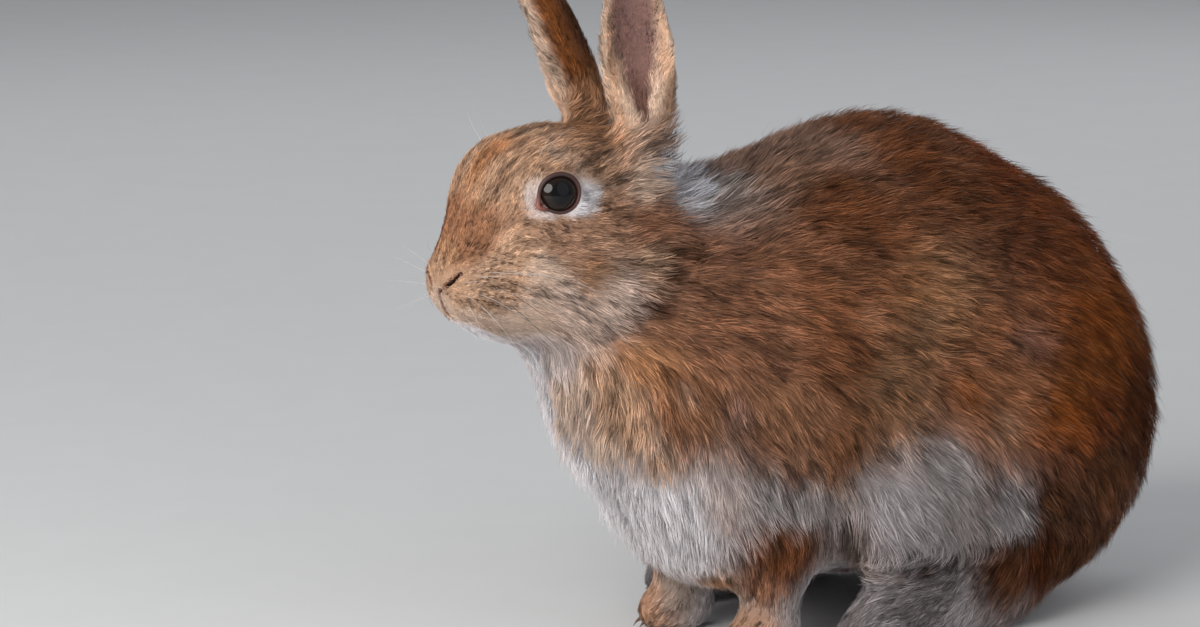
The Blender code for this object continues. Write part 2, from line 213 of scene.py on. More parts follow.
def nearest(spots, points):
    """For each point, the index of the spot that lies nearest to it."""
    tree = KDTree(len(spots))
    for index, spot in enumerate(spots):
        tree.insert(spot, index)
    tree.balance()
    return np.array([tree.find(point)[1] for point in points])


def grain(points, size, seed=0):
    """Smooth seeded noise between 0 and 1, with cells of one size."""
    cell = points / size
    base = np.floor(cell).astype(np.int64)
    part = cell - base
    part = part * part * (3 - 2 * part)
    total = np.zeros(len(points))
    for corner in np.ndindex(2, 2, 2):
        x, y, z = (base + corner).T
        mixed = (x * 73856093) ^ (y * 19349663) ^ (z * 83492791) ^ (seed * 2654435761)
        mixed = ((mixed ^ (mixed >> 13)) & 0xFFFFFFF) * 1274126177
        value = ((mixed ^ (mixed >> 15)) & 0xFFFF) / 65535
        total += value * np.where(corner, part, 1 - part).prod(1)
    return total


def streaks(points, ways, size, length, seed):
    """Noise drawn out along the lie of the coat, between about -1 and 1."""
    steps = np.linspace(-0.5, 0.5, 7) * length
    total = sum(grain(points + ways * step, size, seed) for step in steps) / len(steps)
    return np.clip((total - 0.5) * 5.5, -1, 1)


def warped(points, size, reach, seed=5):
    """The points moved about by noise, so that edges drawn from them wander."""
    moves = np.stack([grain(points, size, seed + axis) for axis in range(3)], 1) - 0.5
    fine = np.stack([grain(points, size * 0.4, seed + 7 + axis) for axis in range(3)], 1) - 0.5
    return points + moves * 2 * reach + fine * reach


# -------- the lie of the coat

BODY_COMBS = table(
    Comb,
    ((-72, 0, 168), (1, 0, 0.2), 7, 20), ((-56, -12, 166), (1, -0.1, 0.2), 8.6, 31),    # nape
    ((-20, 0, 176), (1, 0, 0.15), 8.6, 19),    # withers
    ((35, 0, 186), (1, 0, -0.05), 9.4, 19), ((40, -30, 176), (1, 0, -0.2), 9.4, 18),    # back
    ((80, 0, 170), (1, 0, -0.5), 9.4, 19),
    ((120, 0, 130), (0.6, 0, -1), 10.1, 21), ((146, 0, 85), (0.15, 0, -1), 10.1, 25),    # rump
    ((-78, -30, 142), (1, -0.1, -0.35), 7, 17),    # side of the neck
    ((-50, -45, 120), (1, -0.1, -0.55), 7.8, 17),
    ((-25, -54, 121), (1, 0, -0.45), 8.6, 17), ((-8, -35, 162), (1, 0, -0.2), 8.6, 17),    # ribs
    ((20, -55, 126), (1, 0, -0.4), 8.6, 17),
    ((40, -64, 96), (1, 0, -0.7), 8.6, 17), ((70, -71, 85), (1, 0, -0.9), 8.6, 17),    # thigh
    ((98, -66, 99), (0.8, 0, -1), 9.4, 18), ((114, -64, 78), (0.5, 0, -1), 10.1, 21),
    ((91, -69, 52), (0.5, 0, -1), 9.4, 19), ((64, -70, 49), (0.6, 0, -1), 9.4, 19),
    ((35, -68, 53), (0.6, 0, -1), 9.4, 21),
    ((-8, -61, 58), (0.55, 0, -1), 9.4, 22), ((-48, -53, 88), (0.7, 0, -0.9), 8.6, 18),    # flank
    ((-80, -37, 93), (0.4, -0.1, -1), 8.6, 19),    # shoulder
    ((-103, -10, 89), (-0.05, 0, -1), 9.5, 30), ((-113, 0, 108), (-0.1, 0, -1), 9, 28),    # chest
    ((-93, 0, 66), (0.1, 0, -1), 10.5, 36), ((-78, -14, 54), (0.1, -0.1, -1), 10, 34),
    ((-72, -30, 60), (0.35, -0.1, -1), 10.1, 31), ((-55, -42, 58), (0.5, -0.1, -1), 9.4, 27),
    ((-55, 0, 35), (0.6, 0, -0.8), 7.8, 22), ((-10, 0, 20), (1, 0, -0.1), 7, 16),    # belly
    ((60, 0, 20), (1, 0, 0), 7, 16),
    ((-36, -32, 50), (0.2, 0, -1), 7, 17), ((-36, -36, 25), (0.1, 0, -1), 6, 12),    # foreleg
    ((-50, -26, 25), (0, 0, -1), 5, 12), ((-36, -14, 25), (0.1, 0, -1), 5, 12),
    ((-52, -25, 10), (-1, 0, -0.5), 3.5, 12), ((-30, -25, 8), (-0.6, 0, -0.6), 3.5, 12),    # paw
    ((-22, -51, 14), (-1, 0, -0.25), 5, 14), ((0, -55, 22), (-1, 0, 0), 7, 16),    # hind foot
    ((40, -52, 25), (-0.8, 0, -0.5), 8, 16), ((80, -50, 20), (-0.3, 0, -1), 7, 19),
    ((135, 0, 45), (0.5, 0, 0.8), 9.4, 27),    # tail
)
HEAD_COMBS = table(
    Comb,
    ((-33, 0, -27), (0.1, 0, 1), 1.8, 14), ((-31, 0, -18), (0.4, 0, 1), 2.2, 12),    # nose
    ((-26, -6.5, -14), (0.5, -0.1, 0.9), 2.8, 12),
    ((-15, -10, 8), (0.7, -0.1, 0.75), 4.2, 13), ((-15, 0, 10), (0.7, 0, 0.75), 4.2, 13),    # forehead
    ((3, -10, 18), (1, 0, 0.3), 5.0, 14), ((3, 0, 19), (1, 0, 0.3), 5.0, 14),
    ((25, -7, 19), (1, 0, 0), 6.5, 16), ((22, -24, 7), (0.9, -0.1, 0.5), 5.5, 14),
    ((1, -22, 9), (0.8, -0.1, 0.6), 3.6, 12), ((-10, -23, 0), (0.3, -0.2, 0.9), 2.4, 13),    # round the eye
    ((-5, -27, -8), (1, -0.1, -0.2), 2.6, 13), ((11.5, -27, -1), (1, -0.1, 0.15), 3.4, 13),
    ((-22, -18, -34), (1, -0.4, 0.05), 2.5, 12),    # whisker pad
    ((-30, -11, -29), (0.8, -0.5, 0.4), 1.9, 12), ((-32, -6.6, -35), (0.6, -0.8, -0.2), 1.7, 12),
    ((-31, -3, -41), (0.5, -0.8, -0.5), 1.7, 12),
    ((-19, -13, -47), (1, -0.3, -0.2), 2.8, 12), ((-17, 0, -51), (1, 0, -0.1), 3.0, 13),    # chin
    ((0.6, -27, -44), (1, -0.1, -0.25), 5.5, 14), ((8, -32, -17), (1, 0, -0.12), 5.0, 12),    # cheek and jaw
    ((18, -38, -36), (1, 0, -0.3), 6.5, 14), ((38, -37, -15), (1, 0, -0.15), 7.5, 15),
    ((44, -30, 5), (1, 0, 0), 8, 18), ((46, -18, 10), (1, 0, 0.7), 13, 44),
    ((51, -26, 3), (1, -0.2, 0.35), 12, 42), ((58, -28, -3), (1, -0.1, 0.1), 12, 34),
    ((58, -12, 6), (1, 0, 0.4), 12, 42),
    ((46, -42, -18), (1, -0.1, -0.2), 9, 28),    # fringe of the cheek
    ((28, -43, -36), (1, -0.1, -0.4), 8.5, 27), ((20, 0, -55), (1, 0, -0.3), 7.5, 17),
)
EAR_COMBS = table(
    Comb,
    ((0, 8, 5), (0, 0.1, 1), 4.5, 12), ((0, 8, 30), (0, 0, 1), 2.8, 9), ((0, 4, 58), (0, 0, 1), 2.4, 9),
    ((-12, 0, 15), (-0.6, -0.2, 1), 4.4, 22), ((-12, 0, 38), (-0.5, -0.2, 1), 3.6, 20),    # front rim
    ((12, 0, 15), (0.6, -0.2, 1), 3.6, 18), ((11, 0, 40), (0.5, -0.2, 1), 3.0, 16),    # rear rim
    ((-6, 0, 12), (0.5, -0.3, 1), 4.0, 16), ((6, 0, 12), (-0.5, -0.3, 1), 4.0, 16),    # walls of the hollow
    ((0, 4, 15), (0, -0.2, 1), 1.8, 10), ((0, 3, 40), (0, -0.2, 1), 1.5, 10),    # hollow
)


def both_sides(rows):
    """Each row of a table as (row, side): once where it lies on the middle plane, and twice elsewhere."""
    found = []
    for row in rows:
        found.append((row, LEFT))
        if abs(row.place[1]) > 0:
            found.append((row, RIGHT))
    return found


def framed(body_rows, head_rows, ear_rows=()):
    """(row, matrix to the rabbit's frame) for every row of the tables on both sides."""
    found = [(row, mirror(side)) for row, side in both_sides(body_rows)]
    found += [(row, HEAD @ mirror(side)) for row, side in both_sides(head_rows)]
    found += [(row, ear_matrix(side)) for row in ear_rows for side in SIDES]
    return found


def blended(points, rows):
    """At each point, the mix of the values of (place, reach, values) rows, by how near their places are."""
    total, weights = 0, 0
    for place, reach, values in rows:
        weight = 1 / (squared_from(points, place, reach) + SOFTNESS) ** FALL
        total += weight[:, None] * np.array(values)
        weights += weight
    return total / weights[:, None]


def placed(row, matrix):
    """The place of a row of a table, in the rabbit's frame."""
    return np.array(matrix @ (Vector(row.place) * MM))


def combed(points):
    """The way that the coat lies, its length and its lift, at each point."""
    rows = []
    for comb, matrix in framed(BODY_COMBS, HEAD_COMBS, EAR_COMBS):
        way = (matrix.to_3x3() @ Vector(comb.way)).normalized()
        rows.append((placed(comb, matrix), MM, (*way, comb.length * MM, math.radians(comb.lift))))
    found = blended(points, rows)
    return unit(found[:, :3]), found[:, 3], found[:, 4]


# -------- markings, with painted shade and painted light

COLOURS = {
    "white": (0.86, 0.815, 0.83), "dull_white": (0.46, 0.415, 0.425), "cream": (0.66, 0.48, 0.37),
    "sand": (0.55, 0.335, 0.215), "orange": (0.52, 0.245, 0.115), "tan": (0.44, 0.235, 0.13),
    "agouti": (0.42, 0.225, 0.125), "russet": (0.31, 0.088, 0.018), "umber": (0.30, 0.118, 0.045),
    "brown": (0.23, 0.082, 0.033), "dark": (0.085, 0.034, 0.018), "soot": (0.045, 0.033, 0.029),
    "copper": (0.36, 0.165, 0.085), "rust": (0.35, 0.14, 0.064), "hazel": (0.325, 0.15, 0.085),
    "milk": (0.74, 0.61, 0.57), "chestnut": (0.255, 0.067, 0.018), "deep": (0.12, 0.033, 0.009),
    "bark": (0.15, 0.055, 0.022), "drab": (0.36, 0.205, 0.14), "stone": (0.42, 0.33, 0.28),
    "fawn": (0.46, 0.26, 0.165), "buff": (0.53, 0.39, 0.32), "grey": (0.27, 0.205, 0.18),
    "ash": (0.215, 0.19, 0.19), "pale_grey": (0.40, 0.36, 0.355), "mauve": (0.26, 0.145, 0.125),
    "flesh": (0.20, 0.065, 0.045), "ginger": (0.22, 0.074, 0.021),
}
BODY_MARKS = table(
    Mark,
    ((-56, 0, 168), 9, "pale_grey", 0.1), ((-43, -10, 170), 9, "stone", 0.3),
    # From here to the rump the browns darken: partly the coat's own colour, partly painted shade, deepest on
    # the rump.
    ((-20, 0, 176), 20, "drab", 0.4), ((0, -10, 179), 14, "drab", 0.5), ((35, 0, 186), 25, "brown", 0.5),
    ((40, -30, 176), 18, "brown", 0.5), ((80, 0, 170), 25, "chestnut", 0.4),
    ((120, 0, 130), 25, "chestnut", 0.4), ((146, 0, 85), 25, "deep", 0.4), ((-72, -30, 146), 7, "hazel", 0.5),
    ((-60, -42, 127), 14, "hazel", 0.5), ((-25, -54, 121), 16, "rust", 0.4), ((-4, -56, 100), 13, "tan", 0.4),
    ((-8, -37, 160), 13, "brown", 0.4), ((18, -55, 124), 11, "orange", 0.3), ((40, -64, 96), 15, "rust", 0.3),
    ((70, -71, 85), 12, "russet", 0.3), ((98, -66, 99), 15, "russet", 0.3), ((116, -62, 78), 17, "deep", 0.3),
    # Low on the flank the white fur is painted grey here: painted shade over the coat's own white.
    ((91, -69, 52), 12, "bark", 0.4), ((64, -70, 44), 9, "bark", 0.3), ((44, -68, 44), 7, "pale_grey", 0.1),
    ((14, -65, 62), 7, "pale_grey", 0.1), ((-5, -62, 54), 8, "dull_white", 0.1),
    ((-18, -48, 36), 6, "grey", 0.2), ((-37, -48, 56), 6, "pale_grey", 0.2),
    ((-30, -54, 80), 9, "copper", 0.3), ((-52, -50, 92), 9, "copper", 0.3),
    ((-83, -36, 96), 8, "copper", 0.3), ((-92, -26, 112), 7, "orange", 0.2), ((-84, -22, 74), 5, "sand", 0.1),
    ((-80, -18, 58), 9, "white", 0.0), ((-75, 10, 48), 10, "white", 0.0), ((-66, -36, 60), 6, "milk", 0.0),
    ((-54, -43, 60), 5, "pale_grey", 0.1), ((0, 0, 18), 25, "white", 0.0), ((60, 0, 18), 25, "white", 0.0),
    ((-41, -38, 38), 8, "brown", 0.3), ((-46, -34, 27), 6, "hazel", 0.3), ((-50, -16, 28), 5, "tan", 0.2),
    # The mauve under the belly, between the legs, is painted shade over white fur.
    ((-49, -26, 8), 7, "fawn", 0.1), ((-42, -17, 17), 6, "stone", 0.2), ((4, -26, 24), 9, "mauve", 0.1),
    ((88, -69, 78), 9, "chestnut", 0.4), ((-22, -51, 14), 8, "ash", 0.1), ((0, -58, 21), 9, "ash", 0.1),
    # Under the haunch and over the hind foot the coat is darker: partly its own dark brown, partly painted
    # shadow.
    ((46, -60, 23), 8, "bark", 0.2), ((64, -63, 24), 9, "deep", 0.2), ((82, -60, 24), 12, "bark", 0.3),
    ((104, -46, 24), 12, "bark", 0.3), ((142, 0, 52), 7, "brown", 0.3), ((130, 0, 22), 10, "white", 0.0),
)
CHEST_MARKS = table(
    Mark,      # the chest, whose white lies to the right of its middle
    ((-112, 14, 107), 7, "white", 0.0), ((-105, 20, 93), 7, "white", 0.0), ((-99, 19, 79), 7, "white", 0.0),
    ((-94, 8, 68), 7, "white", 0.0), ((-116, 3, 113), 6, "milk", 0.0), ((-112, 4, 106), 5, "milk", 0.0),
    ((-108, 6, 96), 5, "cream", 0.0), ((-104, 6, 84), 5, "cream", 0.0), ((-108, -3, 98), 5, "cream", 0.0),
    ((-105, -6, 88), 5, "buff", 0.0), ((-101, -8, 79), 4, "cream", 0.0), ((-103, -16, 100), 6, "sand", 0.1),
    ((-100, -17, 88), 6, "sand", 0.0),
)
BODY_SPOTS = table(
    Spot,
    ((22, -37, 167), 9, "dark", 0.35), ((58, -48, 141), 9, "dark", 0.45),    # back and loin
    ((52, -58, 124), 6, "soot", 0.40), ((56, -64, 108), 9, "mauve", 0.45), ((-13, -55, 122), 7, "sand", 0.35),
    ((13, -57, 118), 9, "sand", 0.45), ((27, -62, 92), 7, "russet", 0.75),
    ((93, -66, 103), 8, "russet", 0.40),
    ((-32, -56, 102), 5, "dark", 0.55), ((-20, -55, 91), 5, "dark", 0.50),    # painted shade in the fold behind the shoulder
    ((-11, -55, 83), 5, "dark", 0.50), ((-52, -52, 94), 6, "orange", 0.35), ((-46, -51, 87), 8, "dark", 0.25),
    # The dark along the fold at the back of the thigh is painted shade in the crease.
    ((40, -68, 76), 8, "sand", 0.55), ((62, -71, 62), 8, "dark", 0.60), ((53, -69, 50), 6, "dark", 0.55),
    ((76, -70, 46), 8, "dark", 0.35),
    ((-21, -46, 43), 6, "soot", 0.95),    # painted shadow behind the elbow
    ((-6, -61, 31), 3.5, "dark", 0.60), ((4, -64, 31), 3.5, "dark", 0.80),    # painted shadow over the hind foot, under the haunch's fringe
    ((14, -64, 31), 3.5, "dark", 0.85), ((24, -64, 30), 3.5, "dark", 0.85),
    ((34, -62, 28), 3.5, "mauve", 0.60),
    ((-84, -32, 122), 4, "dark", 0.45), ((-87, -32, 107), 5, "brown", 0.60),    # neck and shoulder
    ((-88, -31, 85), 5, "brown", 0.50), ((-81, -33, 79), 5, "brown", 0.50),
    ((-84, -35, 100), 4, "cream", 0.30), ((-68, -44, 93), 7, "mauve", 0.45),
    ((-61, -48, 88), 4, "dark", 0.35), ((-46, -50, 68), 6, "brown", 0.60),
    ((-64, -33.5, 49), 3.5, "copper", 0.55), ((-43, -43, 46), 6, "brown", 0.55),    # over the leg
)
HEAD_MARKS = table(
    Mark,
    ((-33, 0, -26), 4, "sand", 0.0), ((-30, -4, -22), 4, "tan", 0.1), ((-26, -8, -12), 7, "copper", 0.2),
    ((-15, -10, 8), 9, "sand", 0.1), ((-15, 0, 10), 9, "orange", 0.05), ((3, -5, 18), 7, "sand", 0.3),
    ((25, 0, 20), 7, "tan", 0.3), ((4, -18, 13), 5, "sand", 0.3), ((14, -20, 11), 4, "sand", 0.2),
    ((28, -12, 16), 4, "tan", 0.4), ((4, -32, -15), 7, "fawn", 0.4), ((20, -32, -13), 6, "fawn", 0.5),
    ((38, -37, -10), 7, "hazel", 0.5), ((37, -29, 4), 5, "cream", 0.2), ((33, -42, -25), 5, "sand", 0.2),
    ((46, -45, -32), 5, "hazel", 0.4), ((34, -45, -46), 5, "copper", 0.3), ((17, -38, -39), 7, "buff", 0.1),
    ((10, -34, -28), 5, "agouti", 0.3), ((3, -31, -36), 5, "buff", 0.1), ((-6, -28, -26), 4, "cream", 0.2),
    ((-14, -23, -21), 4, "sand", 0.3), ((4, -29, -46), 6, "buff", 0.0), ((-6, -23, -44), 5, "cream", 0.0),
    ((-18, -20, -29), 5, "sand", 0.4), ((-23, -16, -38), 4, "sand", 0.3), ((-30, -11, -35), 4, "sand", 0.1),
    ((-19, -13, -48), 5, "cream", 0.0), ((-17, 0, -52), 6, "white", 0.0), ((-31, -3, -42), 3, "cream", 0.0),
    ((20, 0, -56), 9, "cream", 0.0),
)
HEAD_SPOTS = table(
    Spot,
    ((23, -15, 16), 2.8, "soot", 0.60), ((23.5, -20, 12), 3.0, "soot", 0.80),    # from the ear to the eye
    ((24, -24, 6.5), 2.8, "soot", 0.75),
    ((44, -43, -21), 2.6, "dark", 0.45),    # behind the crease of the jaw: a darker coat, partly painted shade
    ((40, -44.5, -27), 2.6, "dark", 0.60), ((35.5, -45, -33), 2.6, "dark", 0.65),
    ((31, -44, -39), 2.6, "dark", 0.65), ((26, -42, -44), 2.4, "dark", 0.50),
    ((60, -19, 1), 5.0, "white", 0.90), ((57, -30, -4), 5.0, "white", 0.70),    # back of the neck
    ((3, -19, 13), 4.5, "cream", 0.60), ((11, -22, 10), 4.0, "cream", 0.65),    # over and behind the eye
    ((17, -26, 3), 3.0, "cream", 0.55), ((30, -6, 19), 3.0, "dark", 0.25),
    ((-16, -15, 6), 2.6, "umber", 0.60), ((-7, -21, 7), 2.0, "dark", 0.40),
    ((20, -29, -4), 2.2, "dark", 0.60), ((19, -33, -13), 3.5, "dark", 0.40),
    ((-12, -24, -9), 1.8, "dark", 0.45), ((-28, -10, -21), 3.0, "brown", 0.40),
    ((-22, -15, -18), 3.0, "brown", 0.45), ((10, -34, -22), 4.0, "russet", 0.35),
    ((53, -39, -11), 3.2, "dark", 0.60),    # shade under the cheek's fringe
    ((46, -43, -20), 3.2, "dark", 0.75), ((39, -45, -28), 3.2, "dark", 0.75),
    ((31, -45, -36), 3.2, "dark", 0.70), ((24, -43, -43), 3.2, "dark", 0.65),
    ((16, -37, -49), 3.0, "dark", 0.50), ((49, -44, -23), 4.0, "dark", 0.85),
    ((42, -46, -31), 4.0, "dark", 0.85), ((34, -46, -40), 4.0, "dark", 0.85),
    ((27, -43, -47), 3.8, "dark", 0.75), ((19, -39, -52), 3.0, "brown", 0.50),
    ((46, -20, 9), 4.5, "white", 0.95), ((50, -24, 5), 4.5, "white", 0.95),    # ruff behind the ears
    ((54, -27, 1), 4.0, "white", 0.95), ((57, -31, -4), 4.0, "white", 0.95),
    ((60, -18, 2), 6.0, "white", 0.95), ((62, -25, -1), 5.0, "white", 0.95),
    ((67, -15, 2), 5.0, "white", 0.75),
)


def mix_in(colours, name, share, strength=1.0):
    """Moves each colour by its share towards a named one."""
    colours += (np.array(COLOURS[name]) * strength - colours) * share[:, None]


def ear_colours(points, side):
    """The colour of an ear at each point: pale walls, a bare hollow, a warm back that darkens behind."""
    height, across, deep, behind = ear_place(points, side)
    rear = fade(across, -0.30, 0.30) * fade(height, 2, 20) + 0.6 * fade(height, 40, 62)
    open_side = np.maximum(1 - fade(deep, -0.15, 0.35), 1 - fade(behind, -0.10, 0.06))
    edge = fade(np.abs(across), 0.75, 0.95) * fade(height, 8, 26)
    hollow = in_hollow(points, side)
    colour = np.tile(COLOURS["ginger"], (len(points), 1))
    mix_in(colour, "dark", np.clip(rear, 0, 1) * 0.85, 1.25)
    # The open side is pale sand and cream with its rims lightest, lightened past the fur's own colour: partly
    # painted light where light catches the rims.
    mix_in(colour, "sand", open_side, 1.7)
    mix_in(colour, "cream", open_side * (1 - fade(np.abs(across), 0.35, 0.9)), 1.3)
    mix_in(colour, "cream", edge * open_side * 0.85, 1.65)
    mix_in(colour, "cream", (1 - fade(across, -1.0, -0.68)) * 0.95, 0.85)
    mix_in(colour, "tan", (1 - fade(height, 2, 14)) * (1 - open_side) * 0.8)
    mix_in(colour, "mauve", hollow, 1.2)
    # painted shade at the bottom of the hollow
    mix_in(colour, "dark", hollow * (1 - fade(height, 6, 24)) * 0.7)
    return colour, fade(height, -6, 4) * (np.abs(across) < 1.8) * (np.abs(deep) < 2.5)


def eye_place(points, side):
    """Points in an eye's own frame in millimetres, how far out each lies where the rim of the lids is 1, and
    its angle round the eye in degrees: 0 above, 90 in front, -90 behind."""
    eye = moved(points, eye_matrix(side).inverted()) / MM
    around = np.hypot(eye[:, 0] / OPENING[1], eye[:, 1] / OPENING[0])
    return eye, around, np.degrees(np.arctan2(eye[:, 1], eye[:, 0]))


def eye_surround(points, side):
    """How white the coat is round an eye, more in front and behind, and how bare the corner in front is."""
    eye, around, angle = eye_place(points, side)
    reach = np.interp(angle, SURROUND_ANGLES, SURROUND_REACHES)
    share = np.interp(angle, SURROUND_ANGLES, SURROUND_SHARES)
    near = (lengths(eye) < SURROUND_END) & (eye[:, 2] > -2)
    corner = bell(angle, 118, 24) * (1 - fade(around, 1.22, 1.36)) * near
    return share * (1 - fade(around, reach - 0.3, reach + 0.25)) * near, corner


def pad_dots(points, side):
    """Rows of small dark dots on a whisker pad, 1 at their middles."""
    x, y, z = (moved(points, (HEAD @ mirror(side)).inverted()) / MM).T
    row = (z + 0.25 * x + 23) / PAD_ROWS
    step = (x - 0.5 * y) / PAD_STEP + 0.5 * (np.round(row) % 2)
    off = np.hypot((row - np.round(row)) * PAD_ROWS, (step - np.round(step)) * PAD_STEP)
    region = fade(x, -31, -27) * (1 - fade(x, -16, -12)) * (y < -8)
    region *= fade(z, -43, -39) * (1 - fade(z, -22, -17))
    return region * (1 - fade(off, 0.50, 0.90))


def marked(points):
    """The coat's colour and its share of dark tips, at each point."""
    wandering = warped(points, 9 * MM, EDGE_WANDER)
    marks = framed(BODY_MARKS, HEAD_MARKS) + [(mark, mirror(LEFT)) for mark in CHEST_MARKS]
    found = blended(wandering, [(placed(mark, matrix), mark.reach * MM, (*COLOURS[mark.colour], mark.ticking))
                                for mark, matrix in marks])
    colour, ticking = found[:, :3], found[:, 3]
    for spot, matrix in framed(BODY_SPOTS, HEAD_SPOTS):
        square = squared_from(wandering, placed(spot, matrix), spot.reach * MM)
        mix_in(colour, spot.colour, spot.share * np.exp(-square**1.5))
    for side in SIDES:
        own, share = ear_colours(warped(points, 6 * MM, 0.8 * MM), side)
        colour += (own - colour) * share[:, None]
        ticking *= 1 - 0.6 * share
        white, corner = eye_surround(warped(points, 3 * MM, 0.5 * MM), side)
        mix_in(colour, "white", white)
        mix_in(colour, "flesh", corner)
        ticking *= 1 - white
    return colour, ticking


# -------- meshes

def deselect():
    bpy.ops.object.select_all(action="DESELECT")


def only(obj):
    deselect()
    obj.select_set(True)
    bpy.context.view_layer.objects.active = obj


def linked(name, mesh):
    obj = bpy.data.objects.new(name, mesh)
    bpy.context.scene.collection.objects.link(obj)
    return obj


def paint(obj, material):
    obj.data.materials.append(bpy.data.materials[material])


@contextmanager
def edit_mode(obj, everything=True):
    """Edits a mesh, with all of it selected or with what its faces say."""
    only(obj)
    bpy.ops.object.mode_set(mode="EDIT")
    if everything:
        bpy.ops.mesh.select_all(action="SELECT")
    yield
    bpy.ops.object.mode_set(mode="OBJECT")


def finished(obj, kind, **settings):
    """Adds a modifier and applies it."""
    only(obj)
    modifier = obj.modifiers.new(kind.lower(), kind)
    for name, value in settings.items():
        setattr(modifier, name, value)
    bpy.ops.object.modifier_apply(modifier=modifier.name)


def rows_of(collection, name, width, kind=np.float32):
    """One property of everything in a mesh's collection, a row for each."""
    flat = np.empty(len(collection) * width, kind)
    collection.foreach_get(name, flat)
    return flat.reshape(-1, width) if width > 1 else flat


def fill(collection, name, values, kind=np.float32):
    """Sets one property of everything in a mesh's collection."""
    collection.foreach_set(name, np.asarray(values, kind).ravel())


def points_of(mesh):
    return rows_of(mesh.vertices, "co", 3).astype(float)


def set_points(mesh, points):
    fill(mesh.vertices, "co", points)
    mesh.update()


def attribute(mesh, name, values):
    """Keeps a number or a colour for each vertex. A colour gets its alpha here."""
    if values.ndim > 1:
        layer = mesh.attributes.new(name, "FLOAT_COLOR", "POINT")
        fill(layer.data, "color", np.column_stack((values, np.ones(len(values)))))
    else:
        layer = mesh.attributes.new(name, "FLOAT", "POINT")
        fill(layer.data, "value", values)


# -------- skin

def joined_flesh():
    """One mesh object that holds a merged copy of every flesh node, and a ball under each pair of lids."""
    copies = [linked("flesh_" + name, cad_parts[name].data.copy()) for name in FLESH]
    for side in SIDES:
        bpy.ops.mesh.primitive_uv_sphere_add(segments=32, ring_count=20, radius=EYE_RADIUS + LID_SWELL)
        ball = bpy.context.object
        ball.data.transform(Matrix.Translation(eye_matrix(side).translation))
        copies.append(ball)
    only(copies[0])
    for copy in copies:
        copy.select_set(True)
    bpy.ops.object.join()
    skin = bpy.context.object
    with edit_mode(skin):
        bpy.ops.mesh.remove_doubles(threshold=0.01 * MM)
    return skin


def refined(obj, wanted):
    """Splits the faces finer whose middles are wanted."""
    mesh = obj.data
    for parts in (mesh.vertices, mesh.edges):
        fill(parts, "select", np.zeros(len(parts)), bool)
    fill(mesh.polygons, "select", wanted(rows_of(mesh.polygons, "center", 3).astype(float)), bool)
    with edit_mode(obj, everything=False):
        bpy.ops.mesh.select_mode(type="FACE")
        bpy.ops.mesh.subdivide(number_cuts=1, smoothness=0.0)


def near_features(points):
    """True where the skin needs finer faces: round the eyes, and on the nose and the mouth."""
    local = moved(points, HEAD.inverted()) / MM
    found = (local[:, 0] < -22) & (local[:, 2] > -52) & (local[:, 2] < -18)
    for side in SIDES:
        found |= lengths(points - np.array(eye_matrix(side).translation)) < EYE_RADIUS + 5 * MM
    return found


HEAD_SWELLS = table(
    Swell,
    ((-22, -17, -34), 8, 0.9), ((-11, -22, -38), 5, -0.7),    # whisker pad
    ((2, -21, 11), 6, 0.7), ((-12, -21, 2), 5, -0.5),    # brow
    ((17, -28, -3), 6, -0.7),    # behind the eye
    ((16, -36, -30), 13, 1.0),    # cheek
    ((-14, 0, -48), 8, 0.5),    # chin
)
BODY_SWELLS = table(
    Swell,
    ((-82, -36, 98), 16, 1.2), ((-56, -50, 100), 10, -0.9),    # shoulder
    ((-45, -52, 88), 9, 0.9),    # upper arm
    ((45, -62, 118), 12, -0.8),    # in front of the thigh
    ((70, -70, 92), 20, 1.0), ((25, -60, 100), 9, -0.9),    # thigh
    ((5, -62, 66), 12, 1.2),    # belly
)
JAW = Fold(((57, -30, -3), (52, -40, -12), (44, -44, -22), (36, -45, -30), (28, -44, -39), (21, -41, -46),
            (12, -34, -51)), 2.8, 1.9, 0.0)
BODY_FOLDS = (
    Fold(((-40, -56, 112), (-32, -56, 102), (-12, -55, 85), (-8, -60, 74)), 3.6, 1.3, 0.4),
    Fold(((-63, -47, 91), (-52, -50, 78), (-46, -50, 68), (-44, -46, 54)), 3.4, 1.0, 0.3),
    Fold(((70, -71, 72), (60, -71, 60), (50, -69, 48)), 3.4, 1.0, 0.3),
    Fold(((58, -46, 146), (55, -55, 130), (50, -60, 118)), 3.4, 0.8, 0.2),
    Fold(((-10, -58, 31), (-1, -63, 31), (9, -64, 31), (20, -64, 31), (29, -63, 30), (37, -60, 28)),
         2.2, 1.5, 0.3),
)
NOSE_FOLDS = (
    Fold(((-30.6, -7.7, -30.2), (-31.6, -5.9, -32.0), (-32.5, -3.7, -34.0)), 0.79, 2.6, 0.40),
    Fold(((-29.8, -9.0, -28.9), (-30.6, -7.7, -30.2)), 0.50, 1.2, 0.25),
    Fold(((-32.5, -3.7, -34.0), (-33.0, -2.0, -35.4), (-33.2, 0, -36.2)), 0.60, 1.1, 0.15),
    Fold(((-33.2, 0, -36.0), (-32.4, 0, -40.0), (-29.5, 0, -45.6)), 0.58, 1.7, 0.55),
    Fold(((-29.5, 0, -45.6), (-26.0, -5.0, -47.4), (-20.5, -9.8, -48.4)), 0.36, 0.8, 0.30),
)
NOSE_TWITCH = 1.5           # how far the middle of the nose is drawn to the left
FEET = ("forefoot", "hindfoot")
TOES = 4
TOE_STEP = 0.17             # from toe to toe, as a share of the foot's width


def foot_place(foot, side):
    """A foot's low front corner, the middle of its width and its width, in millimetres."""
    low, high = (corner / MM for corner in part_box(f"{foot}_{SIDES[side]}"))
    return low, (low.y + high.y) / 2, high.y - low.y


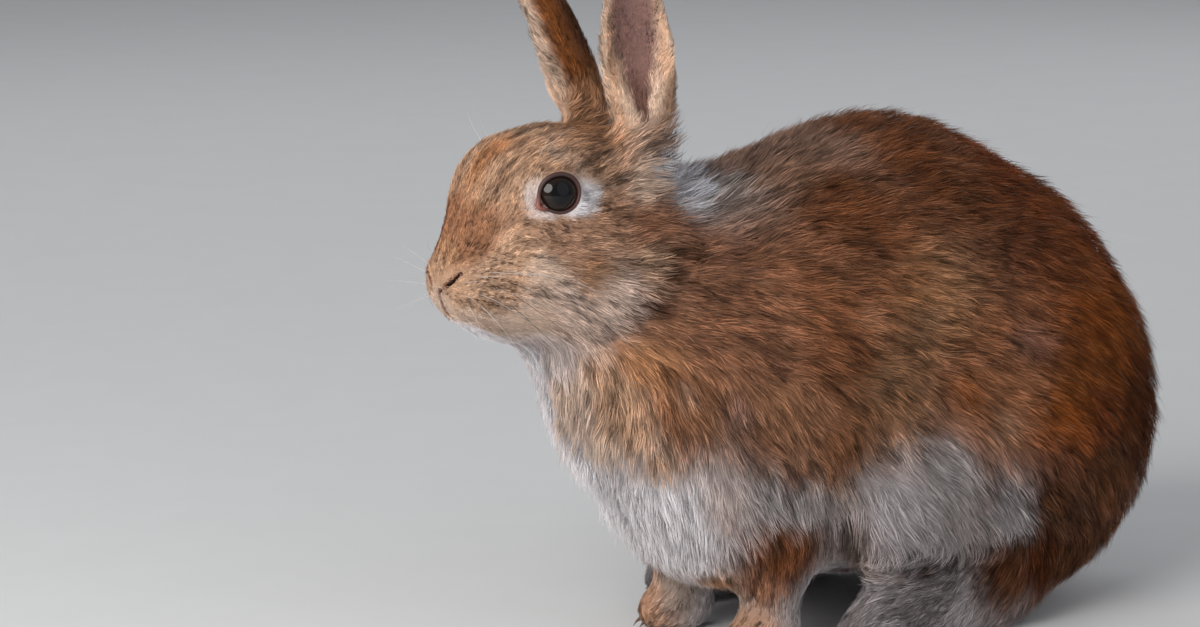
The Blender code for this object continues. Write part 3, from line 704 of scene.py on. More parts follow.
def toe_folds():
    """The clefts between the toes, on the top and front of each foot."""
    found = []
    for foot in FEET:
        for side in SIDES:
            low, middle_y, wide = foot_place(foot, side)
            for place in (-1, 0, 1):
                y = middle_y + place * TOE_STEP * wide
                route = ((low.x - 1, y, 2), (low.x, y, 6), (low.x + 3, y, 9), (low.x + 9, y, 13))
                found.append(Fold(route, 1.1, 1.9, 0.1))
    return found


def laid_on(route, matrix, tree):
    """A route moved on to the skin."""
    return np.array([tree.find_nearest(matrix @ (Vector(spot) * MM))[0] for spot in route])


def off_route(points, route):
    """How far each point lies from a route of straight stretches."""
    best = np.full(len(points), 1.0)
    for start, end in zip(route[:-1], route[1:]):
        way = end - start
        share = np.clip((points - start) @ way / max(way @ way, 1e-12), 0, 1)
        best = np.minimum(best, lengths(points - start - share[:, None] * way))
    return best


def all_folds(tree):
    """Every fold as (fold, its route on the skin), on both sides."""
    twitch = Matrix.Translation((0, -NOSE_TWITCH * MM, 0))
    found = [(fold, mirror(side)) for fold in BODY_FOLDS for side in SIDES]
    found += [(JAW, HEAD @ mirror(side)) for side in SIDES]
    found += [(fold, HEAD @ twitch @ mirror(LEFT)) for fold in NOSE_FOLDS]
    found += [(fold, HEAD @ mirror(RIGHT)) for fold in NOSE_FOLDS if fold.route[-1][1]]
    found += [(fold, Matrix()) for fold in toe_folds()]
    return [(fold, laid_on(fold.route, matrix, tree)) for fold, matrix in found]


def skin_tree(skin):
    skin.data.update()
    return BVHTree.FromPolygons([v.co.copy() for v in skin.data.vertices],
                                [tuple(p.vertices) for p in skin.data.polygons])


def near_folds(points, folds, widest, margin):
    """True near the folds that are narrower than widest, in millimetres."""
    found = np.zeros(len(points), bool)
    for fold, route in folds:
        if fold.half_width < widest:
            found |= off_route(points, route) < (2.2 * fold.half_width + margin) * MM
    return found


def fold_share(points, folds):
    """How deep in a narrow fold each point lies: 0 outside, 1 at the bottom."""
    share = np.zeros(len(points))
    for fold, route in folds:
        if fold.half_width < 0.8 and fold.depth > 1.1:
            off = off_route(points, route) / (fold.half_width * MM)
            share = np.maximum(share, 1 - fade(off, 0.5, 1.5))
    return share


def pressed(skin, folds):
    """Presses the folds into the skin and raises the soft forms between them."""
    points = points_of(skin.data)
    normals = smoothed_normals(skin.data, 6)
    rise = np.zeros(len(points))
    for swell, matrix in framed(BODY_SWELLS, HEAD_SWELLS):
        rise += swell.height * np.exp(-squared_from(points, placed(swell, matrix), swell.reach * MM))
    sunk, proud = np.zeros(len(points)), np.zeros(len(points))
    for fold, route in folds:
        off = off_route(points, route) / (fold.half_width * MM)
        sunk = np.maximum(sunk, fold.depth * (1 - fade(off, 0, 1.5)))
        proud = np.maximum(proud, fold.edge * bell(off, 2.0, 0.8))
    rise += proud - sunk
    attribute(skin.data, "bare", fold_share(points, folds))
    set_points(skin.data, points + normals * (rise * MM)[:, None])


def near_lids(points):
    """True on the skin round the rims of the lids."""
    found = np.zeros(len(points), bool)
    for side in SIDES:
        eye, around, _ = eye_place(points, side)
        found |= (around > 0.7) & (around < 1.5) & (eye[:, 2] > 0) & (lengths(eye) < 16)
    return found


def make_skin():
    skin = joined_flesh()
    skin.name = "skin"
    finished(skin, "DISPLACE", strength=SKIN_SWELL, mid_level=0)
    finished(skin, "REMESH", mode="VOXEL", voxel_size=VOXEL)
    finished(skin, "SMOOTH", iterations=SKIN_RELAX, factor=0.5)
    refined(skin, near_features)
    finished(skin, "SMOOTH", iterations=2, factor=0.5)
    folds = all_folds(skin_tree(skin))
    refined(skin, lambda middles: near_folds(middles, folds, 1.0, 0.6) | near_lids(middles))
    refined(skin, lambda middles: near_folds(middles, folds, 0.8, 0.2))
    pressed(skin, folds)
    return skin


def smoothed_normals(mesh, rounds=3):
    """The normal of each vertex, evened out with its neighbours'."""
    normals = rows_of(mesh.vertices, "normal", 3).astype(float)
    ends = rows_of(mesh.edges, "vertices", 2, np.int32)
    for _ in range(rounds):
        total = normals.copy()
        for axis in range(3):
            total[:, axis] += np.bincount(ends[:, 0], normals[ends[:, 1], axis], len(normals))
            total[:, axis] += np.bincount(ends[:, 1], normals[ends[:, 0], axis], len(normals))
        normals = unit(total)
    return normals


def coat_depth(length, lift):
    """How far the outside of the coat lies over the skin."""
    return np.minimum(length * np.sin(lift) * DEPTH_SHARE, MOST_DEPTH)


def sink_skin(skin):
    """Moves the skin in by the coat's depth."""
    points = points_of(skin.data)
    _, length, lift = combed(points)
    set_points(skin.data, points - smoothed_normals(skin.data) * coat_depth(length, lift)[:, None])


def seen_place(points, normals, way, length, lift):
    """Where on the outside of the coat a tuft is seen that grows at a point of the skin."""
    out = normals * coat_depth(length, lift)[:, None]
    return points + tangent(way, normals) * length[:, None] * SEEN_AT + out


# -------- coat

def tangent(ways, normals):
    """The ways laid flat on the skin."""
    return unit(ways - normals * (ways * normals).sum(1, keepdims=True))


class Roots:
    """Seeded places on the skin where tufts grow, with what each tuft needs to know of the skin there."""

    def __init__(self, skin, count, rng):
        mesh = skin.data
        mesh.calc_loop_triangles()
        corners = rows_of(mesh.loop_triangles, "vertices", 3, np.int32)
        loops = rows_of(mesh.loop_triangles, "loops", 3, np.int32)
        points, normals = points_of(mesh), smoothed_normals(mesh)
        way, length, lift = combed(points)
        colour, ticking = marked(seen_place(points, normals, way, length, lift))
        a, b, c = (points[corners[:, i]] for i in range(3))
        area = lengths(np.cross(b - a, c - a)) / 2
        furred = 1 - rows_of(mesh.attributes["bare"].data, "value", 1)
        density = bare_share(points) * furred / (length * tuft_width(length))
        share = area * density[corners].mean(1)
        picked = rng.choice(len(corners), count, p=share / share.sum())
        u, v = rng.random(count), rng.random(count)
        over = u + v > 1
        u[over], v[over] = 1 - u[over], 1 - v[over]
        weights = np.stack((1 - u - v, u, v), 1)

        def mixed(values, at):
            """The mix of what the three corners round each root have."""
            return (values[at] * (weights[:, :, None] if values.ndim > 1 else weights)).sum(1)

        at = corners[picked]
        self.place = mixed(points, at)
        self.normal = unit(mixed(normals, at))
        self.way = tangent(mixed(way, at), self.normal)
        self.length = mixed(length, at)
        self.lift = mixed(lift, at)
        self.colour = mixed(colour, at)
        self.ticking = mixed(ticking, at)
        for side in SIDES:
            mix_in(self.colour, "dark", 0.9 * pad_dots(self.place, side))
        self.vertex = at[:, 0]
        self.map = mixed(rows_of(mesh.uv_layers["unwrap"].uv, "vector", 2), loops[picked])


def tuft_width(length):
    """How wide a tuft is for its length."""
    return THINNEST + WIDENING * length


def bare_share(points):
    """How thickly the coat grows: 1 on the body, less in the ears' hollows, none on the eyeballs."""
    share = np.ones(len(points))
    for side in SIDES:
        eye, around, angle = eye_place(points, side)
        bare_to = 1.15 + 0.34 * bell(angle, 115, 32)            # further out at the corner, in front
        share *= 1 - (around < bare_to) * (eye[:, 2] > 0) * (lengths(eye) < 14)
        share *= 1 - 0.60 * in_hollow(points, side)
    return share


def ear_place(points, side):
    """Height in an ear in millimetres, how far across (front -1, rear 1) and deep (open -1, back 1) each
    point lies, and how deep in the wall of the ear's cup."""
    ear = moved(points, ear_matrix(side).inverted()) / MM
    height = ear[:, 2]
    middle_x = -np.interp(height, EAR_HEIGHTS, EAR_FORWARDS)
    across = (ear[:, 0] - middle_x) / np.interp(height, EAR_HEIGHTS, EAR_HALF_WIDTHS)
    deep = ear[:, 1] / np.interp(height, EAR_HEIGHTS, EAR_HALF_DEPTHS)
    return height, across, deep, deep - (np.sqrt(np.maximum(1 - across**2, 0)) - EAR_WALL)


def in_hollow(points, side):
    """1 inside the hollow of an ear."""
    height, across, deep, behind = ear_place(points, side)
    width = fade(height, 0, 26) * 0.44 + fade(height, 20, 50) * 0.30 + 0.07
    inside = (1 - fade(np.abs(across) / width, 0.60, 1.25)) * (1 - fade(behind, -0.05, 0.15))
    return inside * fade(height, 0, 5) * (1 - fade(height, 66, 70)) * (deep > -1.6)


def clumped(place, tip, length, rng):
    """Draws the tips of neighbours a little together, and says which tuft each of them follows."""
    centres = rng.choice(len(place), len(place) // LOCK, replace=False)
    leader = centres[nearest(place[centres], place)]
    away = tip[leader] - tip
    limit = LOCK_REACH * length[:, None]
    away *= np.minimum(1, limit / np.maximum(lengths(away)[:, None], 1e-9))
    return tip + LOCK_PULL * away, leader


def coherent_turn(place, size, angle):
    """A slowly changing angle over the coat."""
    return angle * np.array([noise.noise(Vector(spot) / size) for spot in place])


def turned_about(ways, normals, angle):
    """Ways on the skin, turned about its normals."""
    side = np.cross(normals, ways)
    return ways * np.cos(angle)[:, None] + side * np.sin(angle)[:, None]


def grow(roots, rng):
    """The five points of each tuft: root, left, right and crest of its middle, and tip."""
    count = len(roots.place)
    place, normal = roots.place, roots.normal
    wave = coherent_turn(place, WAVE_SIZE, WAVE_TURN)
    way = turned_about(roots.way, normal, wave + rng.normal(0, STRAY_TURN, count))
    guard = rng.random(count) < GUARD_SHARE
    length = roots.length * rng.uniform(*LENGTH_SPREAD, count) * np.where(guard, GUARD_LENGTH, 1)
    swell = 1 + 0.45 * streaks(place, way, 2.5 * MM, 8 * MM, 31)
    lift = roots.lift * rng.uniform(*LIFT_SPREAD, count) * swell * np.where(guard, GUARD_LIFT, 1)
    lift = np.maximum(lift, LEAST_LIFT)
    low = place - normal * ROOT_DEPTH

    def bent(share):
        """The tuft's way where it rises by a share of its lift."""
        return np.cos(share * lift)[:, None] * way + np.sin(share * lift)[:, None] * normal

    centre = low + bent(ROOT_BEND) * CREST_AT * length[:, None]
    tip = centre + bent(TIP_BEND) * (1 - CREST_AT) * length[:, None]
    tip, leader = clumped(place, tip, length, rng)
    wide = tuft_width(roots.length) * rng.uniform(*WIDTH_SPREAD, count) * np.where(guard, GUARD_WIDTH, 1)
    along = unit(tip - low)
    side = unit(np.cross(along, normal))
    left = centre - side * wide[:, None] / 2
    right = centre + side * wide[:, None] / 2
    crest = centre + np.cross(side, along) * wide[:, None] * CREST_HEIGHT
    points = np.stack((low, left, right, crest, tip), 1)
    points[:, :, 2] = np.maximum(points[:, :, 2], FLOOR_GAP)
    return points, np.stack((normal, side, along), 1), leader


def tinted(roots, chance, rng):
    """The colour of each tuft: the coat's there, uneven from tuft to tuft and in streaks along the lie."""
    colour, place, way = roots.colour.copy(), roots.place, roots.way
    often = roots.ticking / 0.4
    fine = streaks(place, way, 0.5 * MM, 5 * MM, 3)
    broad = streaks(place, way, 2.4 * MM, 12 * MM, 11)
    patch = 2 * grain(place, 16 * MM, 17) - 1
    warmth = (2 * grain(place, 24 * MM, 23) - 1) * fade(roots.ticking, 0.05, 0.25)
    contrast = np.where(colour.min(1) > PALE_FROM, PALE_CONTRAST, 1)
    tone = 1 + (0.75 * fine + 0.45 * broad + 0.68 * (2 * chance - 1)) * contrast
    tone += 0.16 * patch * often
    colour *= np.clip(tone, *TONE_LIMITS)[:, None]
    colour *= 1 + warmth[:, None] * np.array((0.06, -0.04, -0.16))
    mix_in(colour, "cream", (rng.random(len(place)) < 0.06 * often) * 0.2)
    return colour


# A tuft's points are 0 its root, 1 left, 2 right, 3 its crest and 4 its tip
TUFT_FACES = np.array(((3, 2, 4), (2, 1, 4), (1, 3, 4), (2, 3, 0), (1, 2, 0), (3, 1, 0)))
UPPER = (True, False, True, True, False, True)      # which of those faces look away from the skin
TUFT_POINTS = 5


def tuft_normals(axes):
    """A shading normal for each corner of each tuft's faces: mostly the skin's, so that the coat reads as one
    soft surface, and turned out a little at the edges."""
    normal, side, along = axes[:, 0], axes[:, 1], axes[:, 2]
    found = np.empty((len(axes), len(TUFT_FACES), 3, 3))
    for face, (corners, upper) in enumerate(zip(TUFT_FACES, UPPER)):
        base = normal if upper else -normal
        for corner, point in enumerate(corners):
            out = {1: -EDGE_TURN, 2: EDGE_TURN}.get(point, 0.0)
            found[:, face, corner] = base + out * side + (TIP_TURN if point == 4 else 0.0) * along
    found /= np.linalg.norm(found, axis=3, keepdims=True)
    return found


PATCH = 0.003                                       # the side of a tuft's own patch of the map


def patch_corners():
    """Where the corners of a tuft's six faces lie in its own patch of the map, as three strips."""
    found = [((strip + 1, 0.5), (strip, 0.5), (strip + 0.5, 1.0)) for strip in range(3)]
    found += [((strip, 0.5), (strip + 1, 0.5), (strip + 0.5, 0.0)) for strip in range(3)]
    return np.array(found) / (3, 1) * PATCH


def tuft_piece(name, roots, chosen, points, axes, colour, ticked):
    """One mesh of the chosen tufts."""
    count = len(chosen)
    verts = points[chosen].reshape(-1, 3)
    faces = (TUFT_FACES[None] + TUFT_POINTS * np.arange(count)[:, None, None]).ravel()
    mesh = bpy.data.meshes.new(name)
    mesh.vertices.add(len(verts))
    fill(mesh.vertices, "co", verts)
    mesh.loops.add(len(faces))
    fill(mesh.loops, "vertex_index", faces, np.int32)
    mesh.polygons.add(len(faces) // 3)
    fill(mesh.polygons, "loop_start", np.arange(0, len(faces), 3), np.int32)
    mesh.update(calc_edges=True)
    shading = mesh.attributes.new("custom_normal", "FLOAT_VECTOR", "CORNER")
    fill(shading.data, "vector", tuft_normals(axes[chosen]))
    attribute(mesh, "coat", np.repeat(colour[chosen], TUFT_POINTS, axis=0))
    attribute(mesh, "along", np.tile((0, CREST_AT, CREST_AT, CREST_AT, 1.0), count))
    attribute(mesh, "ticked", np.repeat(ticked[chosen], TUFT_POINTS))
    spots = roots.map[chosen]
    low, high = spots.min(0), spots.max(0)
    spots = (spots - low) / (high - low) * (1 - PATCH)
    layer = mesh.uv_layers.new(name="OFBake")
    fill(layer.uv, "vector", spots[:, None, None, :] + patch_corners()[None])
    obj = linked(name, mesh)
    paint(obj, "coat")
    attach(obj, "root")


def nearest_nodes(points):
    """For each point, which flesh node it belongs to."""
    spots = [rows_of(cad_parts[name].data.polygons, "center", 3) for name in FLESH]
    owners = np.repeat(np.arange(len(FLESH)), [len(own) for own in spots])
    return owners[nearest(np.concatenate(spots), points)]


MOST_TUFTS = 33000


def unwrap(skin):
    """Lays the skin out flat, as the base of the coat's own maps."""
    skin.data.uv_layers.new(name="unwrap")
    with edit_mode(skin):
        bpy.ops.uv.smart_project(angle_limit=math.radians(70), island_margin=0.002)


def make_coat(skin):
    rng = np.random.default_rng(SEED)
    unwrap(skin)
    roots = Roots(skin, TUFTS, rng)
    points, axes, leader = grow(roots, rng)
    count = len(roots.place)
    chance = 0.35 * rng.random(count) + 0.65 * rng.random(count)[leader]        # mostly its lock's
    colour = tinted(roots, chance, rng)
    often = roots.ticking * (0.5 + grain(roots.place, 7 * MM, 41))
    ticked = (rng.random(count) < often) * rng.uniform(0.3, 0.9, count)
    owners = nearest_nodes(points_of(skin.data))[roots.vertex]
    for index, node in enumerate(FLESH):
        mine = np.flatnonzero(owners == index)
        parts = max(1, math.ceil(len(mine) / MOST_TUFTS))
        order = np.argsort(roots.place[mine, 0])
        for part, chosen in enumerate(np.array_split(mine[order], parts)):
            name = "coat_" + node + (f"_{part + 1}" if parts > 1 else "")
            tuft_piece(name, roots, chosen, points, axes, colour, ticked)


# -------- materials

class Socket:
    """Wraps a node's output, so that maths on it adds Math nodes."""

    def __init__(self, tree, output):
        self.tree = tree
        self.output = output

    def maths(self, operation, *values):
        return self.tree.node("ShaderNodeMath", {"operation": operation}, dict(enumerate(values)))

    def __add__(self, other):
        return self.maths("ADD", self, other)

    def __radd__(self, other):
        return self.maths("ADD", other, self)

    def __mul__(self, other):
        return self.maths("MULTIPLY", self, other)

    def __rmul__(self, other):
        return self.maths("MULTIPLY", other, self)


class Finish:
    """A material, built node by node."""

    def __init__(self, name, **constants):
        material = bpy.data.materials.new(name)
        material.use_nodes = True
        self.nodes = material.node_tree.nodes
        self.links = material.node_tree.links
        self.surface = self.nodes["Principled BSDF"]
        for socket, value in constants.items():
            self.surface.inputs[socket.replace("_", " ")].default_value = value

    def node(self, kind, settings, values, output=0):
        made = self.nodes.new(kind)
        for name, value in settings.items():
            setattr(made, name, value)
        for key, value in values.items():
            if isinstance(value, Socket):
                self.links.new(value.output, made.inputs[key])
            else:
                made.inputs[key].default_value = value
        return Socket(self, made.outputs[output])

    def attribute(self, name, output="Fac"):
        return self.node("ShaderNodeAttribute", {"attribute_name": name}, {}, output)

    def noise(self, scale, detail, roughness):
        where = self.node("ShaderNodeTexCoord", {}, {}, "Object")
        return self.node("ShaderNodeTexNoise", {},
                         {"Vector": where, "Scale": scale, "Detail": detail, "Roughness": roughness}, "Fac")

    def ramp(self, value, start, end):
        """0 to 1 as value goes from start to end."""
        return self.node("ShaderNodeMapRange", {"interpolation_type": "SMOOTHSTEP"},
                         {"Value": value, "From Min": start, "From Max": end})

    def mix(self, share, first, second, kind="MIX"):
        """One colour mixed with another. Inputs 6 and 7 and output 2 are the Mix node's own for colours."""
        first, second = (colour if isinstance(colour, Socket) else (*colour, 1) for colour in (first, second))
        return self.node("ShaderNodeMix", {"data_type": "RGBA", "blend_type": kind},
                         {0: share, 6: first, 7: second}, 2)

    def scaled(self, colour, factor):
        """A colour times a number that varies over the surface."""
        grey = self.node("ShaderNodeCombineColor", {}, {0: factor, 1: factor, 2: factor})
        return self.mix(1.0, colour, grey, "MULTIPLY")

    def bump(self, height, distance):
        return self.node("ShaderNodeBump", {}, {"Height": height, "Distance": distance})

    def feed(self, **inputs):
        for socket, value in inputs.items():
            self.links.new(value.output, self.surface.inputs[socket.replace("_", " ")])


def mottled(finish, coat):
    """The uneven tone that runs through skin and coat alike."""
    broad = finish.noise(55, 3, 0.55)
    fine = finish.noise(260, 2, 0.6)
    tone = 0.62 + 0.46 * broad + 0.30 * fine
    return finish.scaled(coat, tone)


def coat_material():
    finish = Finish("coat", Roughness=0.65, Specular_IOR_Level=0.06)
    coat = mottled(finish, finish.attribute("coat", "Color"))
    along = finish.attribute("along")
    coat = finish.scaled(coat, finish.ramp(along, 0.0, 0.6) * 0.36 + 0.70)
    tip = finish.ramp(along, 0.35, 0.8)
    coat = finish.mix(tip * finish.attribute("ticked"), coat, (0.05, 0.026, 0.017))
    finish.feed(Base_Color=coat)


def skin_material():
    finish = Finish("skin", Roughness=0.8, Specular_IOR_Level=0.2)
    coat = mottled(finish, finish.attribute("coat", "Color"))
    lie = finish.noise(900, 3, 0.6)
    coat = finish.scaled(coat, 0.55 + 0.5 * lie)
    bare = finish.attribute("bare")
    flesh = finish.mix(lie, (0.16, 0.060, 0.045), (0.30, 0.130, 0.100))
    # Darkest at the bottoms of the narrow folds: painted shade in the slits of the nostrils and the cleft.
    flesh = finish.mix(finish.ramp(bare, 0.6, 1.0), flesh, (0.045, 0.014, 0.012))
    coat = finish.mix(finish.ramp(bare, 0.0, 0.5), coat, flesh)
    finish.feed(Base_Color=coat, Normal=finish.bump(lie, 0.4 * MM))


def eye_material():
    finish = Finish("eye_dark", Roughness=0.03, Coat_Weight=0.5, Coat_Roughness=0.02, IOR=1.38,
                    Specular_IOR_Level=0.12)
    ring = finish.attribute("ring")
    iris = finish.mix(finish.noise(900, 2, 0.6), (0.010, 0.006, 0.004), (0.020, 0.010, 0.006))
    colour = finish.mix(finish.ramp(ring, 0.55, 0.75), (0.0025, 0.0025, 0.003), iris)
    finish.feed(Base_Color=finish.mix(finish.ramp(ring, 0.98, 1.1), colour, (0.020, 0.012, 0.010)))


def lid_material():
    finish = Finish("lid", Roughness=0.42, Specular_IOR_Level=0.4)
    folds = finish.noise(1500, 3, 0.6)
    colour = finish.mix(finish.attribute("corner"), (0.060, 0.030, 0.026), (0.30, 0.105, 0.085))
    finish.feed(Base_Color=finish.scaled(colour, 0.75 + 0.5 * folds), Normal=finish.bump(folds, 0.1 * MM))


def whisker_material():
    finish = Finish("whisker", Roughness=0.35, Specular_IOR_Level=0.5)
    shade = finish.noise(400, 2, 0.5) * 0.3 + 0.85
    colour = finish.mix(finish.attribute("dark"), (0.62, 0.58, 0.55), (0.030, 0.018, 0.013))
    finish.feed(Base_Color=finish.scaled(colour, shade))


def claw_material():
    finish = Finish("claw", Roughness=0.32, Coat_Weight=0.3, Coat_Roughness=0.2)
    bands = finish.noise(700, 3, 0.6)
    colour = finish.mix(finish.attribute("tip"), (0.20, 0.13, 0.10), (0.055, 0.036, 0.030))
    finish.feed(Base_Color=finish.scaled(colour, 0.75 + 0.5 * bands), Normal=finish.bump(bands, 0.08 * MM))


def floor_material():
    finish = Finish("floor", Roughness=0.85)
    clouds = finish.noise(30, 4, 0.55)
    finish.feed(Base_Color=finish.mix(clouds, (0.74, 0.74, 0.735), (0.78, 0.78, 0.78)))


# -------- studio

def aimed(obj, place, target):
    """Puts a light or a camera at a place and turns it to its target."""
    obj.location = place
    obj.rotation_mode = "QUATERNION"
    obj.rotation_quaternion = (Vector(target) - Vector(place)).to_track_quat("-Z", "Y")


def area_light(name, place, target, size, power, colour):
    light = bpy.data.lights.new(name, "AREA")
    light.shape = "DISK"
    light.size = size
    light.energy = power
    light.color = colour
    aimed(linked(name, light), place, target)


VIEW_AZIMUTH = math.radians(-40)
VIEW_ELEVATION = math.radians(11)
VIEW_DISTANCE = 1.6
VIEW_TARGET = Vector((-0.0727, 0.0259, 0.1205))


def make_studio():
    bpy.ops.mesh.primitive_plane_add(size=12)
    floor = bpy.context.object
    floor.name = "floor"
    floor_material()
    paint(floor, "floor")
    area_light("key", (-1.15, -0.30, 0.76), (-0.04, 0, 0.12), 0.95, 15.5, (1.0, 0.985, 0.96))
    area_light("fill", (0.2, -1.7, 0.9), (0, 0, 0.1), 2.2, 4.2, (0.93, 0.96, 1.0))
    area_light("rim", (0.3, 1.3, 1.1), (0, 0, 0.15), 1.2, 2.8, (0.95, 0.97, 1.0))
    area_light("back", (1.4, 0.7, 0.9), (0, 0, 0.1), 1.2, 2.2, (0.95, 0.97, 1.0))
    world = bpy.data.worlds.new("studio")
    bpy.context.scene.world = world
    world.use_nodes = True
    world.node_tree.nodes["Background"].inputs["Color"].default_value = (0.92, 0.95, 1.0, 1)
    world.node_tree.nodes["Background"].inputs["Strength"].default_value = 0.30
    camera = linked("camera", bpy.data.cameras.new("camera"))
    back = Vector((math.sin(VIEW_AZIMUTH) * math.cos(VIEW_ELEVATION),
                   -math.cos(VIEW_AZIMUTH) * math.cos(VIEW_ELEVATION), math.sin(VIEW_ELEVATION)))
    aimed(camera, VIEW_TARGET + back * VIEW_DISTANCE, VIEW_TARGET)
    camera.data.lens = 135
    camera.data.sensor_width = 36
    bpy.context.scene.camera = camera
    bpy.context.scene.view_settings.view_transform = "Standard"


# -------- the rabbit

def make_eyeball(side):
    bpy.ops.mesh.primitive_uv_sphere_add(segments=64, ring_count=40, radius=EYE_RADIUS)
    ball = bpy.context.object
    ball.name = "eyeball_" + SIDES[side]
    x, y, z = points_of(ball.data).T                    # z points out of the pupil
    attribute(ball.data, "ring", np.hypot(x, y) / (OPENING[1] * MM) + 3 * (z < 0))
    ball.data.transform(eye_matrix(side))
    if side == RIGHT:
        ball.data.flip_normals()
    ball.data.shade_smooth()
    paint(ball, "eye_dark")
    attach(ball, "root")
    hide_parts("eye_" + SIDES[side])


def tubes(name, routes, thicknesses, sides, closed=False):
    """One closed mesh of round tubes along routes, each with its own thickness along it."""
    deselect()
    bpy.ops.curve.primitive_bezier_curve_add()
    obj = bpy.context.object
    obj.name = name
    curve = obj.data
    curve.splines.clear()
    curve.dimensions = "3D"
    curve.bevel_depth = 1.0
    curve.bevel_resolution = sides
    curve.use_fill_caps = not closed
    for route, thick in zip(routes, thicknesses):
        spline = curve.splines.new("POLY")
        spline.points.add(len(route) - 1)
        fill(spline.points, "co", np.column_stack((route, np.ones(len(route)))))
        fill(spline.points, "radius", thick)
        spline.use_cyclic_u = closed
        spline.use_smooth = True
    only(obj)
    bpy.ops.object.convert(target="MESH")
    obj = bpy.context.object
    with edit_mode(obj):
        bpy.ops.mesh.remove_doubles(threshold=0.002 * MM)
        bpy.ops.mesh.normals_make_consistent(inside=False)
    obj.data.shade_smooth()
    return obj


def lid_height(x, y):
    """How high the skin lies round the opening of the lids, in the eye's own frame."""
    flat = np.hypot(x, y)
    rim = flat / np.maximum(np.hypot(x / (OPENING[1] * MM), y / (OPENING[0] * MM)), 0.01)
    return np.sqrt((EYE_RADIUS + 0.15 * MM) ** 2 - rim**2) + 0.36 * (flat - rim)


def make_lid(side):
    """The bare rim of the lids, with its corner in front."""
    turn = np.linspace(0, 2 * math.pi, 72, endpoint=False)         # 0 above, a quarter in front
    corner = bell(np.degrees(turn), 120, 18)
    above = 0.5 + 0.5 * np.cos(turn)
    x = (OPENING[1] * np.cos(turn) * 1.05 - 1.2 * corner) * MM
    y = (OPENING[0] * np.sin(turn) * 1.05 + 1.8 * corner) * MM
    reach = EYE_RADIUS + (0.45 + 0.25 * above) * MM
    z = np.sqrt(np.maximum(reach**2 - x**2 - y**2, (0.3 * reach) ** 2))
    z += (lid_height(x, y) + 0.25 * MM - z) * fade(corner, 0.02, 0.3)
    thick = (0.62 + 0.25 * above + 0.15 * corner) * MM
    route = moved(np.column_stack((x, y, z)), eye_matrix(side))
    lid = tubes("lid_" + SIDES[side], [route], [thick], 3, closed=True)
    _, _, angle = eye_place(points_of(lid.data), side)
    pink = bell(angle, 118, 18) + 0.25 * bell(angle, -110, 40)      # both corners, and most in front
    attribute(lid.data, "corner", np.clip(pink, 0, 1))
    paint(lid, "lid")
    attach(lid, "root")


WHISKERS = table(
    Whisker,
    ((-28, -11.5, -32), (-0.2, -1, 0.25), (-0.35, -1, 0.20), 20, 0.0),
    ((-28, -12, -36), (-0.2, -1, 0.0), (-0.40, -1, -0.10), 24, 0.0),
    ((-27, -12, -40), (-0.2, -1, -0.3), (-0.30, -0.9, -0.55), 22, 0.0),
    ((-25, -14, -30), (0.0, -1, 0.2), (0.10, -1, 0.15), 25, 0.0),
    ((-24, -15, -35), (0.0, -1, 0.0), (0.05, -1, -0.25), 29, 0.1),
    ((-24, -15, -39), (0.0, -1, -0.3), (0.15, -0.9, -0.65), 27, 0.0),
    ((-21, -17, -28), (0.2, -1, 0.1), (0.65, -1, 0.05), 30, 0.2),
    ((-20, -18, -33), (0.2, -1, -0.1), (0.70, -0.9, -0.30), 34, 0.5),
    ((-20, -18, -37), (0.2, -1, -0.3), (0.70, -0.8, -0.60), 34, 0.8),
    ((-17, -20, -27), (0.4, -0.9, 0.0), (1.00, -0.7, -0.10), 30, 0.3),
    ((-16, -21, -31), (0.4, -0.9, -0.2), (1.00, -0.6, -0.50), 36, 1.0),
    ((-15, -21, -35), (0.4, -0.9, -0.4), (0.95, -0.5, -0.80), 34, 1.0),
    ((-15, -20, -39), (0.4, -0.8, -0.5), (0.85, -0.4, -0.95), 30, 1.0),
    ((-5, -19, 13), (-0.3, -0.7, 0.7), (0.10, -0.8, 0.80), 17, 0.0),    # over the eye
    ((-2, -19, 14), (-0.2, -0.7, 0.7), (0.40, -0.8, 0.70), 19, 0.2),
    ((4, -32, -30), (0.2, -0.9, -0.2), (0.70, -0.9, -0.50), 12, 0.3),
)


def make_whiskers(side, tree):
    matrix = HEAD @ mirror(side)
    routes = []
    along = np.linspace(0, 1, 13)
    for whisker in WHISKERS:
        root = np.array(tree.find_nearest(matrix @ (Vector(whisker.place) * MM))[0])
        start, end = unit(np.array((whisker.start, whisker.end), float)) * whisker.length * MM
        path = along[:, None] * start * 0.9
        path += (along**2)[:, None] * (end - start) * 0.55
        routes.append(root + turned(path - 0.03 * start, matrix))
    thick = (0.125 - 0.10 * along) * MM
    obj = tubes("whiskers_" + SIDES[side], routes, [thick] * len(routes), 0)
    owner = nearest(np.concatenate(routes), points_of(obj.data)) // len(along)
    attribute(obj.data, "dark", np.array([whisker.dark for whisker in WHISKERS])[owner])
    paint(obj, "whisker")
    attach(obj, "root")


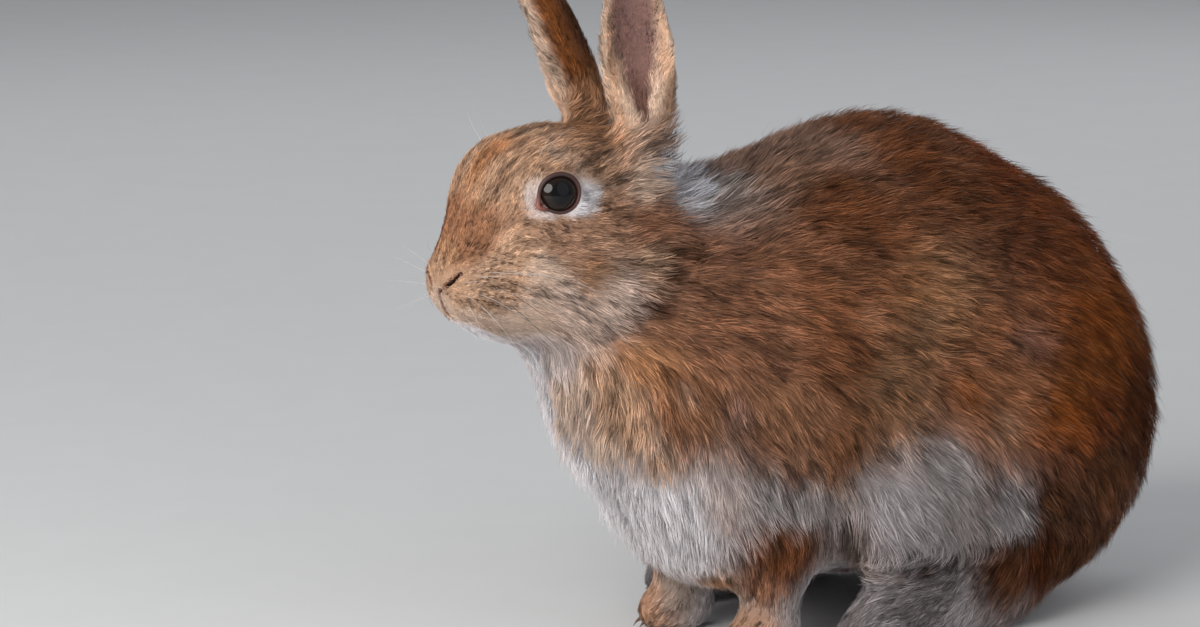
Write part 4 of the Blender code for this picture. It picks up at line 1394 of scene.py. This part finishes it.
def make_claws(foot, side):
    """Small curved claws at the tips of the toes."""
    low, middle_y, wide = foot_place(foot, side)
    length = CLAW_LENGTHS[foot]
    along = np.linspace(0, 1, 9)
    routes = []
    for toe in range(TOES):
        off = toe - (TOES - 1) / 2
        back = low.x + CLAW_ROOT + 0.8 * abs(off)
        y = np.full(len(along), middle_y + off * TOE_STEP * wide)
        routes.append(np.column_stack((back - length * along, y, 3.4 + 0.5 * along - 2.6 * along**2)) * MM)
    thick = np.maximum(0.75 * (1 - along**1.7), 0.10) * MM
    obj = tubes(f"claws_{foot}_{SIDES[side]}", routes, [thick] * TOES, 2)
    x = points_of(obj.data)[:, 0] / MM
    attribute(obj.data, "tip", np.clip((low.x + CLAW_ROOT - x) / length, 0, 1))
    paint(obj, "claw")
    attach(obj, "root")


def open_lids(skin):
    """Lowers the skin round the eyeballs to the rims of the lids, and sinks it into the balls inside them."""
    points = points_of(skin.data)
    for side in SIDES:
        matrix = eye_matrix(side)
        eye = moved(points, matrix.inverted())
        around = np.hypot(eye[:, 0] / (OPENING[1] * MM), eye[:, 1] / (OPENING[0] * MM))
        close = (eye[:, 2] > -2 * MM) & (lengths(eye) < EYE_RADIUS + 8 * MM)
        ceiling = lid_height(eye[:, 0], eye[:, 1])
        tall = close & (around > 0.9) & (around < 1.9) & (eye[:, 2] > ceiling)
        eye[tall, 2] = ceiling[tall]
        far = lengths(eye)
        inside = (1 - fade(around, 0.94, 1.06)) * close
        sunk = eye / far[:, None] * (EYE_RADIUS - 1.2 * MM)
        eye += (sunk - eye) * inside[:, None]
        least = EYE_RADIUS + 0.12 * MM
        short = close & (inside < 0.01) & (far < least)
        eye[short] *= (least / far[short])[:, None]
        changed = (inside > 0) | short | tall
        points[changed] = moved(eye[changed], matrix)
    set_points(skin.data, points)


def main():
    coat_material()
    eye_material()
    lid_material()
    whisker_material()
    claw_material()
    skin_material()
    skin = make_skin()
    sink_skin(skin)
    open_lids(skin)
    points, normals = points_of(skin.data), smoothed_normals(skin.data)
    colour, _ = marked(seen_place(points, normals, *combed(points)))
    attribute(skin.data, "coat", colour)
    skin.data.shade_smooth()
    skin.data.materials.clear()
    paint(skin, "skin")
    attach(skin, "root")
    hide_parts(*FLESH)
    make_coat(skin)
    tree = skin_tree(skin)
    for side in SIDES:
        make_eyeball(side)
        make_lid(side)
        make_whiskers(side, tree)
        for foot in FEET:
            make_claws(foot, side)
    make_studio()


main()
